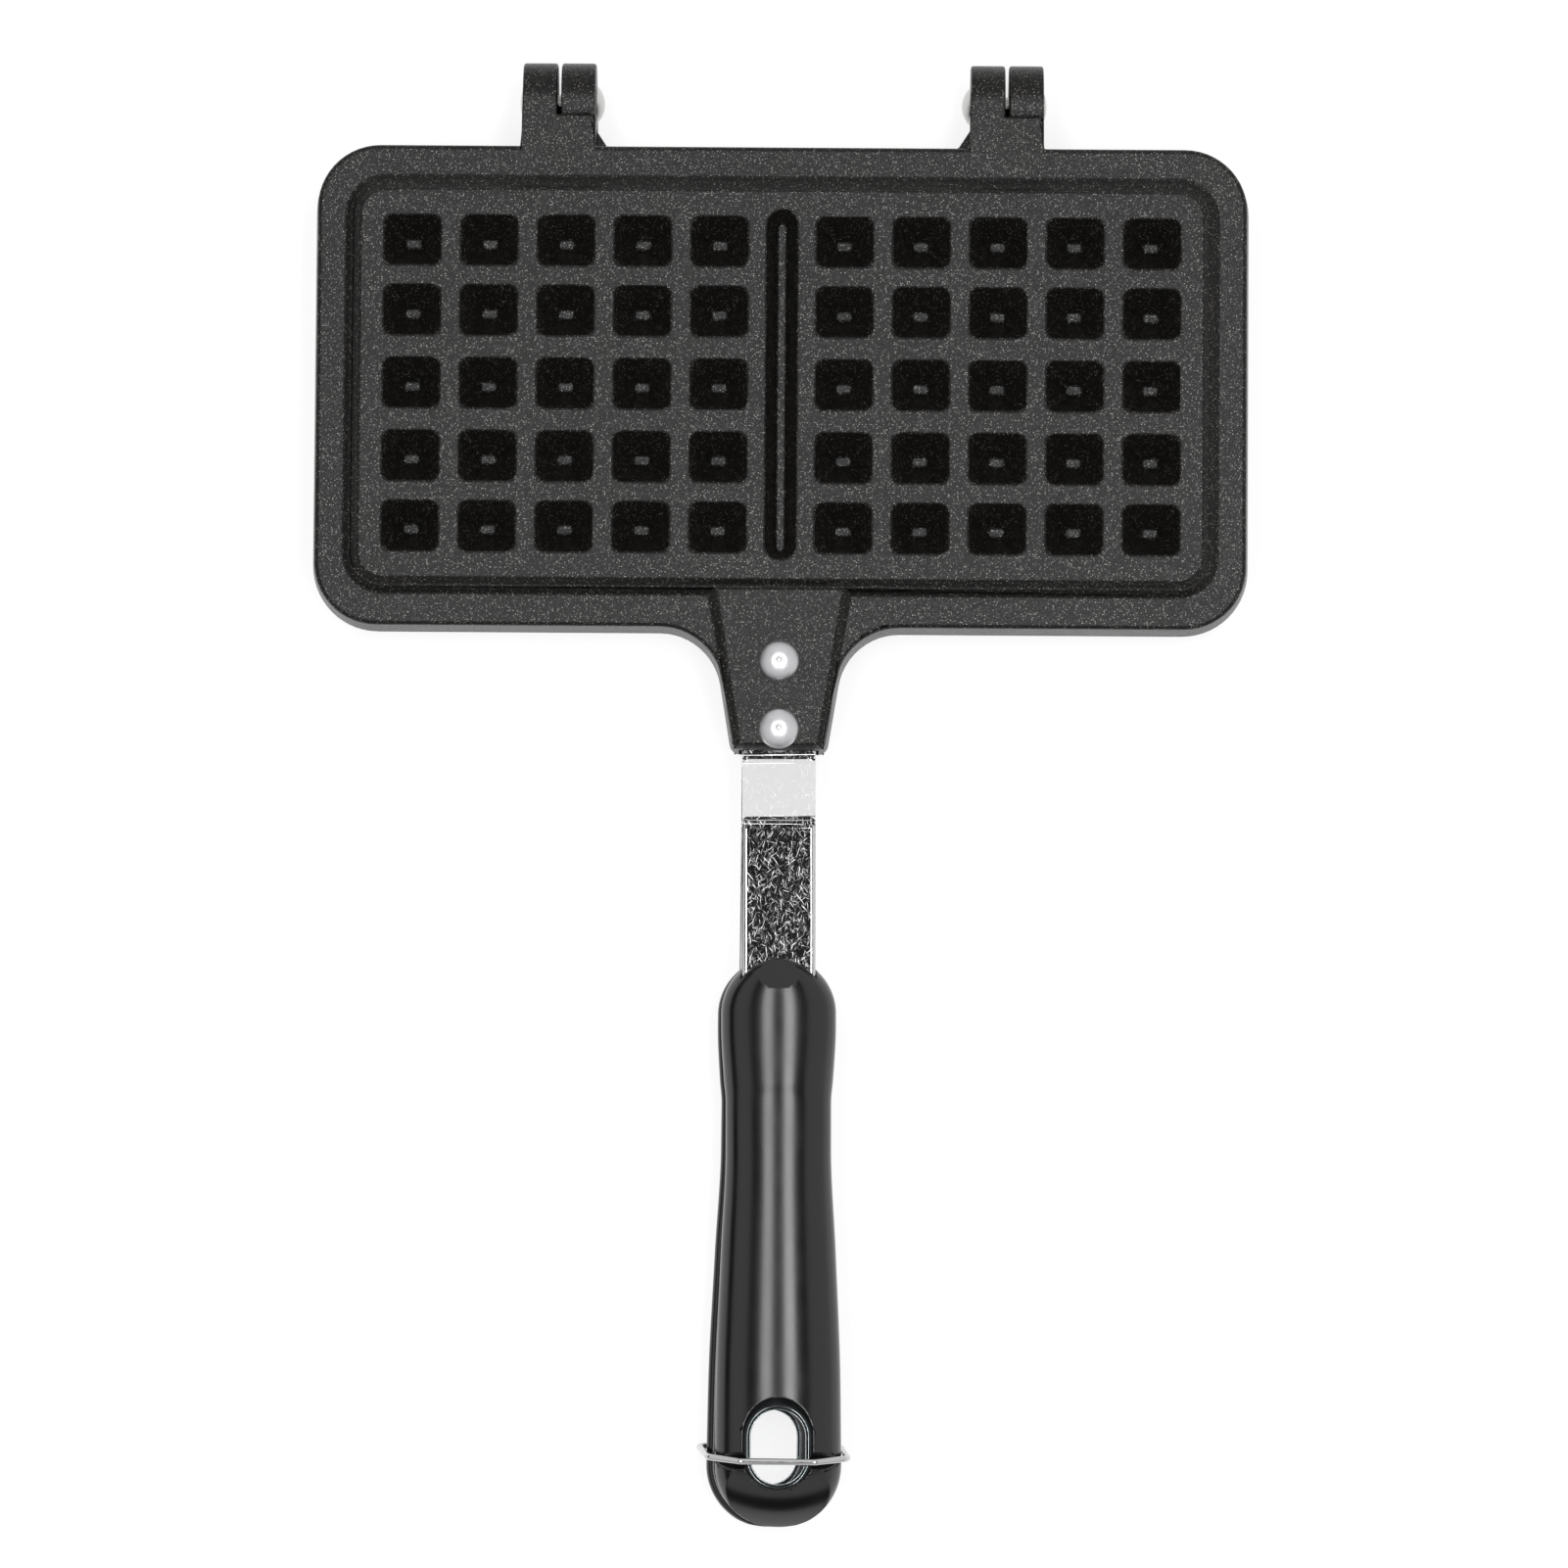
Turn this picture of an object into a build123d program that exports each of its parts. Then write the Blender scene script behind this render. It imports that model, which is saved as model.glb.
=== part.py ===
from build123d import *
import math
import os

# Stovetop waffle pan: two like halves, each a casting with a strap and a grip, hinged at the far edge.
# Millimetres. +Y points from the grips to the hinge, +Z up. The origin is under the middle of the
# closed pan, on the surface that the lower panel rests on. Heights in the sizes below are measured
# from the parting plane between the halves, and each piece is drawn for the upper half first.

# Casting, seen from above
plate_width = 235.6
plate_depth = 123.0
plate_corner = 16.5
flange_side = 8.1
flange_end = 8.7
foot_corner = 10.0

# Casting, heights above the parting plane
rim_height = 10.4
seam = 0.15
rim_draft = 5.0
rim_round = 1.3

# Panel: two sloped steps with a narrow ledge between them
lower_step_height = 2.2
lower_step_run = 2.0
ledge = 0.4
upper_step_height = 1.9
upper_step_run = 1.35

# Mould inside the casting
lip = 4.0
wall = 2.6
well_margin = 2.0

# Waffle studs, hollow from outside: each is a pit in the panel, with flat lands between the pits
pit_width = 14.3
pit_length = 12.7
pit_corner = 1.8
column_land = 5.0
middle_row_land = 5.7
outer_row_land = 5.0
side_land = 5.9
end_land = 6.6
batter_gap = 4.8
pit_floor_width = 4.1
pit_floor_length = 2.6
pit_floor_corner = 0.9
pit_corner_steps = 2
stud_wall = 2.3
stud_root_corner = 4.0
stud_tip_corner = 2.2

# Dividing ridge, hollow from outside: a slot in the panel
slot_width = 7.7
slot_land = 4.7
slot_overrun = 1.65
slot_depth = 7.0
slot_floor_width = 2.5

# Hinge: two pairs of lugs, each pair on one pin at the parting plane
hinge_x = 56.5
lug_width = 8.7
lug_gap = 1.0
notch_clearance = 0.7
notch_land = 0.1
shelf_length = 7.2
shelf_corner = 1.7
pin_diameter = 5.0
running_clearance = 0.05
pin_play = 0.25
pin_head_diameter = 9.3
pin_head_height = 1.9
pin_tail_diameter = 6.8
pin_tail_height = 0.6
gusset_width = 3.1
gusset_length = 4.8
gusset_height = 4.0

# Bracket that carries the strap
bracket_length = 30.5
bracket_wall = 2.9
bracket_flare = 5.0
bracket_root_round = 15.5
bracket_end_round = 2.8
pad_rise = 1.6
pad_root_spread = 1.2
pad_root_bevel = 2.4
pad_side_inset = 1.0
pad_side_bevel = 1.4
pad_end_inset = 1.0
pad_end_bevel = 0.8

# Strap
strap_width = 18.4
strap_thickness = 2.5
strap_side_gap = 0.2
strap_top = 6.2
strap_start = 2.5
strap_show = 51.0
crank_start = 1.6
crank_run = 15.5
crank_angle = 10.0
crank_bend = 12.0
tang_shoulder = 10.0
tang_step = 2.45
tang_length = 48.0
strap_corner = 1.5
socket_gap = 0.15

# Rivets
first_rivet = 7.8
rivet_pitch = 17.0
rivet_diameter = 5.0
rivet_head_diameter = 10.2
rivet_head_height = 2.8
rivet_head_edge = 0.4
rivet_tail_diameter = 8.5
rivet_tail_height = 1.6

# Grip, seen from above
grip_length = 143.0
nose_half = 14.4
neck_half = 14.0
waist_half = 13.2
swell_half = 14.4
tail_half = 15.6
end_half = 15.8

# Grip, along its length from the middle of the nose
neck_start = 3.0
neck_step = 14.0
waist_start = 22.0
waist_stop = 34.0
swell = 60.0
tail = 92.0

# Grip, its thickness
grip_gap = 2.0
nose_thickness = 12.3
waist_thickness = 11.4
waist_stop_thickness = 11.6
swell_thickness = 12.6
tail_thickness = 13.1
end_thickness = 13.3
grip_side = 3.5
grip_edge = 2.0
facet_start = 6.8
facet_angle = 29.0

# Grip screws
screw_diameter = 4.0
screw_head_diameter = 7.0
screw_head_height = 2.0
screw_head_sink = 0.3
first_screw = 22.0
screw_pitch = 18.0
screw_bite = 2.2

# Hanging hole and its liner
hole_distance = 20.3
ring_length = 20.6
ring_width = 15.6
ring_wall = 1.0
ring_sink = 0.2
recess_depth = 3.3
recess_slope = 33.0

# Wire clip, its groove and its pivot in the other grip
wire_diameter = 1.6
wire_bend = 2.2
pivot_height = 8.5
toe_length = 6.5
bar_offset = 3.6
bar_lift = 0.7
bar_half = 9.4
shoulder_drop = 4.5
shoulder_offset = 1.0
shoulder_inset = 0.5
leg_gap = 2.1
groove_depth = 2.9
groove_radius = 25.0
groove_half_angle = 41.0
groove_reach = 5.0
swing_gap = 0.37

# How far each handle leans off the casting's middle line, in degrees
lean = 0.33

# How near counts as the same place, where a corner is picked out or a row is counted
near = 0.01

# Places along Y
eye_radius = rim_height
notch_radius = eye_radius + notch_clearance
pin_offset = notch_radius + notch_land
overall_length = eye_radius + pin_offset + plate_depth + bracket_length + strap_show + grip_length
pin_y = overall_length / 2 - eye_radius
plate_back = pin_y - pin_offset
plate_y = plate_back - plate_depth / 2
plate_front = plate_back - plate_depth
bracket_end = plate_front - bracket_length
nose_tip = bracket_end - strap_show
nose_y = nose_tip - nose_half
grip_end = nose_tip - grip_length
end_y = grip_end + end_half
hole_y = grip_end + hole_distance
pivot_y = hole_y
bar_y = pivot_y - bar_offset
rivet_ys = [plate_front - first_rivet, plate_front - first_rivet - rivet_pitch]
screw_ys = [nose_tip - first_screw, nose_tip - first_screw - screw_pitch]

# Places along Z, from the parting plane
half_thickness = rim_height + lower_step_height + upper_step_height
parting_z = half_thickness
pit_depth = half_thickness - stud_wall - batter_gap / 2
pad_top = rim_height + pad_rise
crank_rise = crank_run * math.tan(math.radians(crank_angle))
tang_top = strap_top + crank_rise
tang_bottom = tang_top - strap_thickness
grip_floor = grip_gap / 2
end_crown = grip_floor + end_thickness
ring_top = end_crown - recess_depth
groove_height = end_crown - groove_depth
bar_height = end_crown + bar_lift
shoulder_height = bar_height - shoulder_drop
pivot_z = parting_z - pivot_height

# Widths that follow from what they hold or clear
foot_width = plate_width - 2 * flange_side
foot_depth = plate_depth - 2 * flange_end
foot_front = plate_y - foot_depth / 2
step_inset = lower_step_run + ledge
face_width = foot_width - 2 * (step_inset + upper_step_run)
face_depth = foot_depth - 2 * (step_inset + upper_step_run)
face_corner = foot_corner - step_inset - upper_step_run
bracket_end_half = strap_width / 2 + bracket_wall
bracket_root_half = bracket_end_half + bracket_flare
tang_width = strap_width - 2 * tang_step
leg_half = end_half + leg_gap
shoulder_half = leg_half - shoulder_inset
toe_inner = leg_half - toe_length

turn_axis = Axis((0, 0, parting_z), (0, 1, 0))
lean_axis = Axis((0, sum(rivet_ys) / 2, 0), (0, 0, 1))


def level(height):
    """A sketch plane at a height above the parting plane."""
    return Plane.XY.offset(parting_z + height)


def side_plane(x):
    """A sketch plane facing +X, drawn in Y and Z from the parting plane."""
    return Plane(origin=(x, 0, parting_z), x_dir=(0, 1, 0), z_dir=(1, 0, 0))


def end_plane(y):
    """A sketch plane facing the grips' end, drawn in X and Z from the parting plane."""
    return Plane(origin=(0, y, parting_z), x_dir=(1, 0, 0), z_dir=(0, -1, 0))


def turned_over(part):
    """The lower half's copy of an upper piece."""
    return part.rotate(turn_axis, 180)


def leaned(part):
    """A handle piece, swung about its rivets."""
    return part.rotate(lean_axis, lean)


def slope_angle(run, height):
    """The draft, in degrees, of a wall that goes in by run over height."""
    return math.degrees(math.atan(run / height))


def dome_radius(half_width, height):
    """The ball that a domed head of this half width and height is a cap of."""
    return (half_width**2 + height**2) / (2 * height)


def rounded_outline(width, length, corner, steps):
    """The corners of a rectangle whose rounded corners are drawn as a few short straight edges each."""
    points = []
    for turn, (side_x, side_y) in enumerate(((1, 1), (-1, 1), (-1, -1), (1, -1))):
        for step in range(steps + 1):
            angle = math.radians(90 * (turn + step / steps))
            x = side_x * (width / 2 - corner) + corner * math.cos(angle)
            y = side_y * (length / 2 - corner) + corner * math.sin(angle)
            points.append((x, y))
    return points


def flat_sided(lower_z, lower_outline, upper_z, upper_outline):
    """A block with flat sloping sides between two outlines of as many corners."""
    lower = [Vector(x, y, lower_z) for x, y in lower_outline]
    upper = [Vector(x, y, upper_z) for x, y in upper_outline]
    faces = [Face(Wire.make_polygon(lower)), Face(Wire.make_polygon(upper))]
    for i in range(len(lower)):
        faces.append(Face(Wire.make_polygon([lower[i - 1], lower[i], upper[i], upper[i - 1]])))
    return Solid(Shell(faces))


# As many columns and rows of pits as the panel has room for, either side of the slot and the middle row
first_column = slot_width / 2 + slot_land + pit_width / 2
column_pitch = pit_width + column_land
column_room = face_width / 2 - side_land - pit_width / 2 - first_column
column_places = []
for column in range(math.floor(column_room / column_pitch + near) + 1):
    x = first_column + column * column_pitch
    column_places += [-x, x]
first_row = pit_length + middle_row_land
row_pitch = pit_length + outer_row_land
row_room = face_depth / 2 - end_land - pit_length / 2 - first_row
row_places = [0]
for row in range(math.floor(row_room / row_pitch + near) + 1):
    y = first_row + row * row_pitch
    row_places += [-y, y]
slot_length = 2 * max(row_places) + pit_length + 2 * slot_overrun

# Pit: the outside of one hollow stud, its mouth drawn a little above the panel
pit_run_x = (pit_width - pit_floor_width) / 2
pit_run_y = (pit_length - pit_floor_length) / 2
mouth = 0.5
mouth_share = 1 + mouth / pit_depth
pit = flat_sided(
    parting_z + half_thickness - pit_depth,
    rounded_outline(pit_floor_width, pit_floor_length, pit_floor_corner, pit_corner_steps),
    parting_z + half_thickness + mouth,
    rounded_outline(
        pit_floor_width + 2 * pit_run_x * mouth_share,
        pit_floor_length + 2 * pit_run_y * mouth_share,
        pit_corner,
        pit_corner_steps,
    ),
)

# Stud: the same form inside the mould, larger by the wall, with bevelled corners
stud_tip = half_thickness - pit_depth - stud_wall
stud_root = half_thickness - wall + mouth
stud_side = 2 * stud_wall / math.cos(math.atan(pit_run_x / pit_depth))
root_share = 1 - (half_thickness - stud_root) / pit_depth
tip_share = stud_wall / pit_depth
stud = flat_sided(
    parting_z + stud_tip,
    rounded_outline(
        pit_floor_width - 2 * pit_run_x * tip_share + stud_side,
        pit_floor_length - 2 * pit_run_y * tip_share + stud_side,
        stud_tip_corner,
        1,
    ),
    parting_z + stud_root,
    rounded_outline(
        pit_floor_width + 2 * pit_run_x * root_share + stud_side,
        pit_floor_length + 2 * pit_run_y * root_share + stud_side,
        stud_root_corner,
        1,
    ),
)

# Slot and ridge: the divider, outside and inside
slot_draft = slope_angle((slot_width - slot_floor_width) / 2, slot_depth)
slot_spread = math.tan(math.radians(slot_draft))
with BuildPart() as slot:
    with BuildSketch(Plane(origin=(0, 0, parting_z + half_thickness + mouth), z_dir=(0, 0, -1))):
        SlotOverall(slot_length + 2 * mouth * slot_spread, slot_width + 2 * mouth * slot_spread, rotation=90)
    extrude(amount=slot_depth + mouth, taper=slot_draft)

ridge_drop = half_thickness - stud_root
ridge_side = 2 * stud_wall / math.cos(math.radians(slot_draft)) - 2 * ridge_drop * slot_spread
with BuildPart() as ridge:
    with BuildSketch(Plane(origin=(0, 0, parting_z + stud_root), z_dir=(0, 0, -1))):
        SlotOverall(slot_length + ridge_side, slot_width + ridge_side, rotation=90)
    extrude(amount=slot_depth + stud_wall - ridge_drop, taper=slot_draft)

stud_places = [(x, plate_y + y) for x in column_places for y in row_places]

# Upper casting. Each hinge of it is a lug with the other half's lug beside it, on the +X side.
hinge_half = lug_width + lug_gap / 2
hinge_starts = [-hinge_x - hinge_half, hinge_x - hinge_half]
bore_radius = pin_diameter / 2 + running_clearance
rivet_bore_radius = rivet_diameter / 2 + running_clearance
root = 2 * rim_round
with BuildPart() as upper_plate:
    # Rim and bracket in one outline
    with BuildSketch(level(seam)) as outline:
        with Locations((0, plate_y)):
            RectangleRounded(plate_width, plate_depth, plate_corner)
        with BuildLine():
            Polyline(
                (bracket_root_half, plate_y),
                (bracket_root_half, plate_front),
                (bracket_end_half, bracket_end),
                (-bracket_end_half, bracket_end),
                (-bracket_root_half, plate_front),
                (-bracket_root_half, plate_y),
                close=True,
            )
        make_face()
        fillet(outline.vertices().group_by(Axis.Y)[0], bracket_end_round)
        root_corners = outline.vertices().filter_by(
            lambda corner: abs(corner.Y - plate_front) < near and abs(corner.X) < bracket_root_half + near
        )
        fillet(root_corners, bracket_root_round)
    extrude(amount=rim_height - seam, taper=rim_draft)
    fillet(upper_plate.faces().sort_by(Axis.Z)[-1].edges(), rim_round)

    # Panel in two sloped steps
    with BuildSketch(level(rim_height)):
        with Locations((0, plate_y)):
            RectangleRounded(foot_width, foot_depth, foot_corner)
    extrude(amount=lower_step_height, taper=slope_angle(lower_step_run, lower_step_height))
    with BuildSketch(level(rim_height + lower_step_height)):
        with Locations((0, plate_y)):
            RectangleRounded(
                foot_width - 2 * step_inset, foot_depth - 2 * step_inset, foot_corner - step_inset
            )
    extrude(amount=upper_step_height, taper=slope_angle(upper_step_run, upper_step_height))

    # Raised pad on the bracket, which runs up to the panel
    foot_at_root = bracket_root_half + pad_root_spread
    foot_at_end = bracket_end_half - pad_side_inset
    foot_end = bracket_end + pad_end_inset
    top_at_root = foot_at_root - pad_root_bevel
    top_at_end = foot_at_end - pad_side_bevel
    for height, half_at_root, half_at_end, end_place in (
        (rim_height - rim_round, foot_at_root, foot_at_end, foot_end),
        (rim_height, foot_at_root, foot_at_end, foot_end),
        (pad_top, top_at_root, top_at_end, foot_end + pad_end_bevel),
    ):
        with BuildSketch(level(height)):
            with BuildLine():
                Polyline(
                    (half_at_root, foot_front + lower_step_run),
                    (half_at_end, end_place),
                    (-half_at_end, end_place),
                    (-half_at_root, foot_front + lower_step_run),
                    close=True,
                )
            make_face()
    loft(ruled=True)

    # Hinges: a shelf under the other lug's path, then the lug with its eye
    for start in hinge_starts:
        slot_start = start + lug_width
        with BuildSketch(level(seam)) as shelf:
            with Locations((slot_start, plate_back - root)):
                Rectangle(lug_width + lug_gap, root + shelf_length, align=(Align.MIN, Align.MIN))
            fillet(shelf.vertices().group_by(Axis.Y)[-1].sort_by(Axis.X)[-1], shelf_corner)
        extrude(amount=rim_height - seam)
        with BuildSketch(side_plane(slot_start)):
            with Locations((pin_y, 0)):
                Circle(notch_radius)
        extrude(amount=lug_width + lug_gap, mode=Mode.SUBTRACT)
        with BuildSketch(side_plane(start)):
            with Locations((plate_back - root, seam)):
                Rectangle(root + pin_offset, rim_height - seam, align=(Align.MIN, Align.MIN))
            with Locations((pin_y, 0)):
                Circle(eye_radius)
        extrude(amount=lug_width)
    with BuildSketch(level(seam)):
        with BuildLine():
            Polyline(
                (hinge_starts[1], plate_back + gusset_length),
                (hinge_starts[1] - gusset_width, plate_back),
                (hinge_starts[1] - gusset_width, plate_back - root),
                (hinge_starts[1], plate_back - root),
                close=True,
            )
        make_face()
    extrude(amount=gusset_height)
    with BuildSketch(side_plane(-plate_width / 2)):
        with Locations((pin_y, 0)):
            Circle(bore_radius)
    extrude(amount=plate_width, mode=Mode.SUBTRACT)

    # Mould: the well under the rim and the deeper one under the panel, with its studs and ridge
    with BuildSketch(level(0)):
        with Locations((0, plate_y)):
            RectangleRounded(plate_width - 2 * lip, plate_depth - 2 * lip, plate_corner - lip)
    extrude(amount=rim_height - wall, mode=Mode.SUBTRACT)
    with BuildSketch(level(0)):
        with Locations((0, plate_y)):
            RectangleRounded(face_width - 2 * well_margin, face_depth - 2 * well_margin, face_corner)
    extrude(amount=half_thickness - wall, mode=Mode.SUBTRACT)
    with Locations(*stud_places):
        add(stud)
    with Locations((0, plate_y)):
        add(ridge.part)
    with Locations(*stud_places):
        add(pit, mode=Mode.SUBTRACT)
    with Locations((0, plate_y)):
        add(slot.part, mode=Mode.SUBTRACT)

    # Channel for the strap, open to the parting plane, and its rivet holes
    with BuildSketch(level(0)):
        with Locations((0, plate_front - strap_start + strap_side_gap)):
            Rectangle(
                strap_width + 2 * strap_side_gap, 2 * bracket_length, align=(Align.CENTER, Align.MAX)
            )
    extrude(amount=strap_top, mode=Mode.SUBTRACT)
    with BuildSketch(level(0)):
        with Locations(*[(0, y) for y in rivet_ys]):
            Circle(rivet_bore_radius)
    extrude(amount=half_thickness, mode=Mode.SUBTRACT)

# Hinge pin: a domed head on the inboard side, a shank through both lugs and a low riveted tail
pin_inner = hinge_x - hinge_half - pin_play
pin_outer = hinge_x + hinge_half + pin_play
with BuildPart() as right_hinge_pin:
    with BuildSketch(Plane(origin=(0, pin_y, parting_z), x_dir=(1, 0, 0), z_dir=(0, 0, 1))):
        with BuildLine():
            head_dome = RadiusArc(
                (pin_inner - pin_head_height, 0),
                (pin_inner, pin_head_diameter / 2),
                dome_radius(pin_head_diameter / 2, pin_head_height),
            )
            Polyline(
                head_dome @ 1,
                (pin_inner, pin_diameter / 2),
                (pin_outer, pin_diameter / 2),
                (pin_outer, pin_tail_diameter / 2),
            )
            tail_dome = RadiusArc(
                (pin_outer, pin_tail_diameter / 2),
                (pin_outer + pin_tail_height, 0),
                dome_radius(pin_tail_diameter / 2, pin_tail_height),
            )
            Line(tail_dome @ 1, head_dome @ 0)
        make_face()
    revolve(axis=Axis((0, pin_y, parting_z), (1, 0, 0)))

# Rivet: a domed head on the pad and a flat set head under the strap
set_head_z = strap_top - strap_thickness
with BuildPart() as rivet:
    with BuildSketch(side_plane(0)):
        with BuildLine():
            dome = RadiusArc(
                (0, pad_top + rivet_head_height),
                (rivet_head_diameter / 2, pad_top + rivet_head_edge),
                dome_radius(rivet_head_diameter / 2, rivet_head_height - rivet_head_edge),
            )
            Polyline(
                dome @ 1,
                (rivet_head_diameter / 2, pad_top),
                (rivet_diameter / 2, pad_top),
                (rivet_diameter / 2, set_head_z),
                (rivet_tail_diameter / 2, set_head_z),
                (rivet_tail_diameter / 2, set_head_z - rivet_tail_height / 2),
                (rivet_tail_diameter / 2 - rivet_tail_height / 2, set_head_z - rivet_tail_height),
                (0, set_head_z - rivet_tail_height),
                dome @ 0,
            )
        make_face()
    revolve(axis=Axis.Z)

# Strap: flat in the bracket, cranked once, flat again as the grip's tang
crank_y = bracket_end - crank_start
with BuildPart() as strap_blank:
    with BuildSketch(side_plane(-strap_width / 2)):
        with BuildLine():
            FilletPolyline(
                (plate_front - strap_start, strap_top),
                (crank_y, strap_top),
                (crank_y - crank_run, tang_top),
                (nose_tip - tang_length, tang_top),
                radius=crank_bend,
            )
            offset(amount=strap_thickness, side=Side.LEFT)
        make_face()
    extrude(amount=strap_width)
    with BuildSketch(level(0)):
        with Locations((0, nose_tip - tang_shoulder)):
            Rectangle(strap_width, tang_length, align=(Align.CENTER, Align.MAX))
            Rectangle(
                tang_width, tang_length, align=(Align.CENTER, Align.MAX), mode=Mode.SUBTRACT
            )
    extrude(amount=half_thickness, mode=Mode.SUBTRACT)
    with BuildSketch(level(0)):
        with Locations(*[(0, y) for y in screw_ys]):
            Circle(screw_diameter / 2 + running_clearance)
    extrude(amount=half_thickness, mode=Mode.SUBTRACT)
    fillet(strap_blank.edges().filter_by(Axis.Z).group_by(Axis.Y)[-1], strap_corner)

with BuildPart() as upper_strap:
    add(leaned(strap_blank.part))
    with BuildSketch(level(0)):
        with Locations(*[(0, y) for y in rivet_ys]):
            Circle(rivet_bore_radius)
    extrude(amount=half_thickness, mode=Mode.SUBTRACT)


def grip_section(distance, half, thickness, whole=True):
    """The grip's cross-section at a distance from the middle of its nose, or the +X half of it."""
    floor = grip_floor
    crown = floor + thickness
    shoulder = floor + grip_side
    with BuildSketch(end_plane(nose_y - distance)) as section:
        with BuildLine():
            Polyline((0, crown), (0, floor), (half - grip_edge, floor))
            RadiusArc((half - grip_edge, floor), (half, floor + grip_edge), -grip_edge)
            Line((half, floor + grip_edge), (half, shoulder))
            EllipticalCenterArc((0, shoulder), half, crown - shoulder, start_angle=0, arc_size=90)
        make_face()
        if whole:
            mirror(about=Plane.YZ)
    return section.sketch


# Grip: a neck that steps down to a long swelling body, between a round nose and a round end
neck_stations = [
    (0, nose_half, nose_thickness),
    (neck_start, nose_half, nose_thickness),
    (neck_step, neck_half, nose_thickness),
    (waist_start, waist_half, waist_thickness),
]
body_stations = [
    (waist_start, waist_half, waist_thickness),
    (waist_stop, waist_half, waist_stop_thickness),
    (swell, swell_half, swell_thickness),
    (tail, tail_half, tail_thickness),
    (nose_y - end_y, end_half, end_thickness),
]
nose_section = grip_section(*neck_stations[0], whole=False)
end_section = grip_section(*body_stations[-1], whole=False)
with BuildPart() as grip:
    loft([grip_section(*station) for station in neck_stations], ruled=True)
    loft([grip_section(*station) for station in body_stations])
    revolve(nose_section, axis=Axis((0, nose_y, 0), (0, 0, 1)), revolution_arc=180)
    revolve(end_section, axis=Axis((0, end_y, 0), (0, 0, -1)), revolution_arc=180)

    # Flat facet on the nose, where the strap goes in
    facet_reach = nose_half - facet_start
    crown_share = math.sqrt(1 - (facet_reach / nose_half) ** 2)
    facet_height = grip_floor + grip_side + (nose_thickness - grip_side) * crown_share
    facet_turn = math.radians(facet_angle)
    facet_plane = Plane(
        origin=(0, nose_tip - facet_start, parting_z + facet_height),
        x_dir=(1, 0, 0),
        z_dir=(0, math.sin(facet_turn), math.cos(facet_turn)),
    )
    split(bisect_by=facet_plane, keep=Keep.BOTTOM)

    # Socket for the strap: wide at the mouth, narrow along the tang
    for width, length in ((strap_width, tang_shoulder), (tang_width, tang_length)):
        with BuildSketch(level(tang_bottom - socket_gap)):
            with Locations((0, nose_tip + nose_half)):
                Rectangle(
                    width + 2 * socket_gap,
                    length + socket_gap + nose_half,
                    align=(Align.CENTER, Align.MAX),
                )
        extrude(amount=strap_thickness + 2 * socket_gap, mode=Mode.SUBTRACT)

    # Counterbored screw holes in the flat inner face
    for y in screw_ys:
        with BuildSketch(level(grip_floor)):
            with Locations((0, y)):
                Circle(screw_head_diameter / 2 + socket_gap)
        extrude(amount=screw_head_sink + screw_head_height, mode=Mode.SUBTRACT)
        with BuildSketch(level(grip_floor)):
            with Locations((0, y)):
                Circle(screw_diameter / 2 + running_clearance)
        extrude(amount=tang_top + screw_bite + socket_gap - grip_floor, mode=Mode.SUBTRACT)

    # Hanging hole with a sloping recess round it
    with BuildSketch(level(grip_floor)):
        with Locations((0, hole_y)):
            SlotOverall(
                ring_length + 2 * running_clearance, ring_width + 2 * running_clearance, rotation=90
            )
    extrude(amount=ring_top - grip_floor, mode=Mode.SUBTRACT)
    with BuildSketch(level(ring_top)):
        with Locations((0, hole_y)):
            SlotOverall(
                ring_length + 2 * running_clearance, ring_width + 2 * running_clearance, rotation=90
            )
    extrude(amount=recess_depth + mouth, taper=-recess_slope, mode=Mode.SUBTRACT)

    # Groove across the crown for the clip's bar
    with BuildSketch(side_plane(0)):
        groove_spread = groove_reach * math.tan(math.radians(groove_half_angle))
        with BuildLine():
            Polyline(
                (bar_y, groove_height),
                (bar_y + groove_spread, groove_height + groove_reach),
                (bar_y - groove_spread, groove_height + groove_reach),
                close=True,
            )
        make_face()
    groove_axis = Axis((0, bar_y, parting_z + groove_height - groove_radius), (0, 1, 0))
    revolve(axis=groove_axis, mode=Mode.SUBTRACT)

# The end beyond the groove is cut back to a barrel, so that the other grip's clip swings round it
bar_swing = math.hypot(bar_height + pivot_height, bar_offset)
shoulder_swing = math.hypot(shoulder_height + pivot_height, bar_offset - shoulder_offset)
barrel_radius = bar_swing - wire_diameter / 2 - swing_gap
barrel_edge_radius = shoulder_swing - wire_diameter / 2 - swing_gap
with BuildPart() as end_trim:
    with BuildSketch(level(0)):
        with Locations((0, bar_y)):
            Rectangle(2 * shoulder_half, hole_distance, align=(Align.CENTER, Align.MAX))
    extrude(amount=2 * half_thickness)
    with BuildSketch(Plane(origin=(0, pivot_y, pivot_z), x_dir=(1, 0, 0), z_dir=(0, -1, 0))):
        with BuildLine():
            barrel_side = ThreePointArc(
                (-shoulder_half, barrel_edge_radius), (0, barrel_radius), (shoulder_half, barrel_edge_radius)
            )
            Polyline(barrel_side @ 1, (shoulder_half, 0), (-shoulder_half, 0), barrel_side @ 0)
        make_face()
    revolve(axis=Axis((0, pivot_y, pivot_z), (1, 0, 0)), mode=Mode.SUBTRACT)

with BuildPart() as upper_grip:
    add(grip.part)
    add(end_trim.part, mode=Mode.SUBTRACT)

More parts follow.
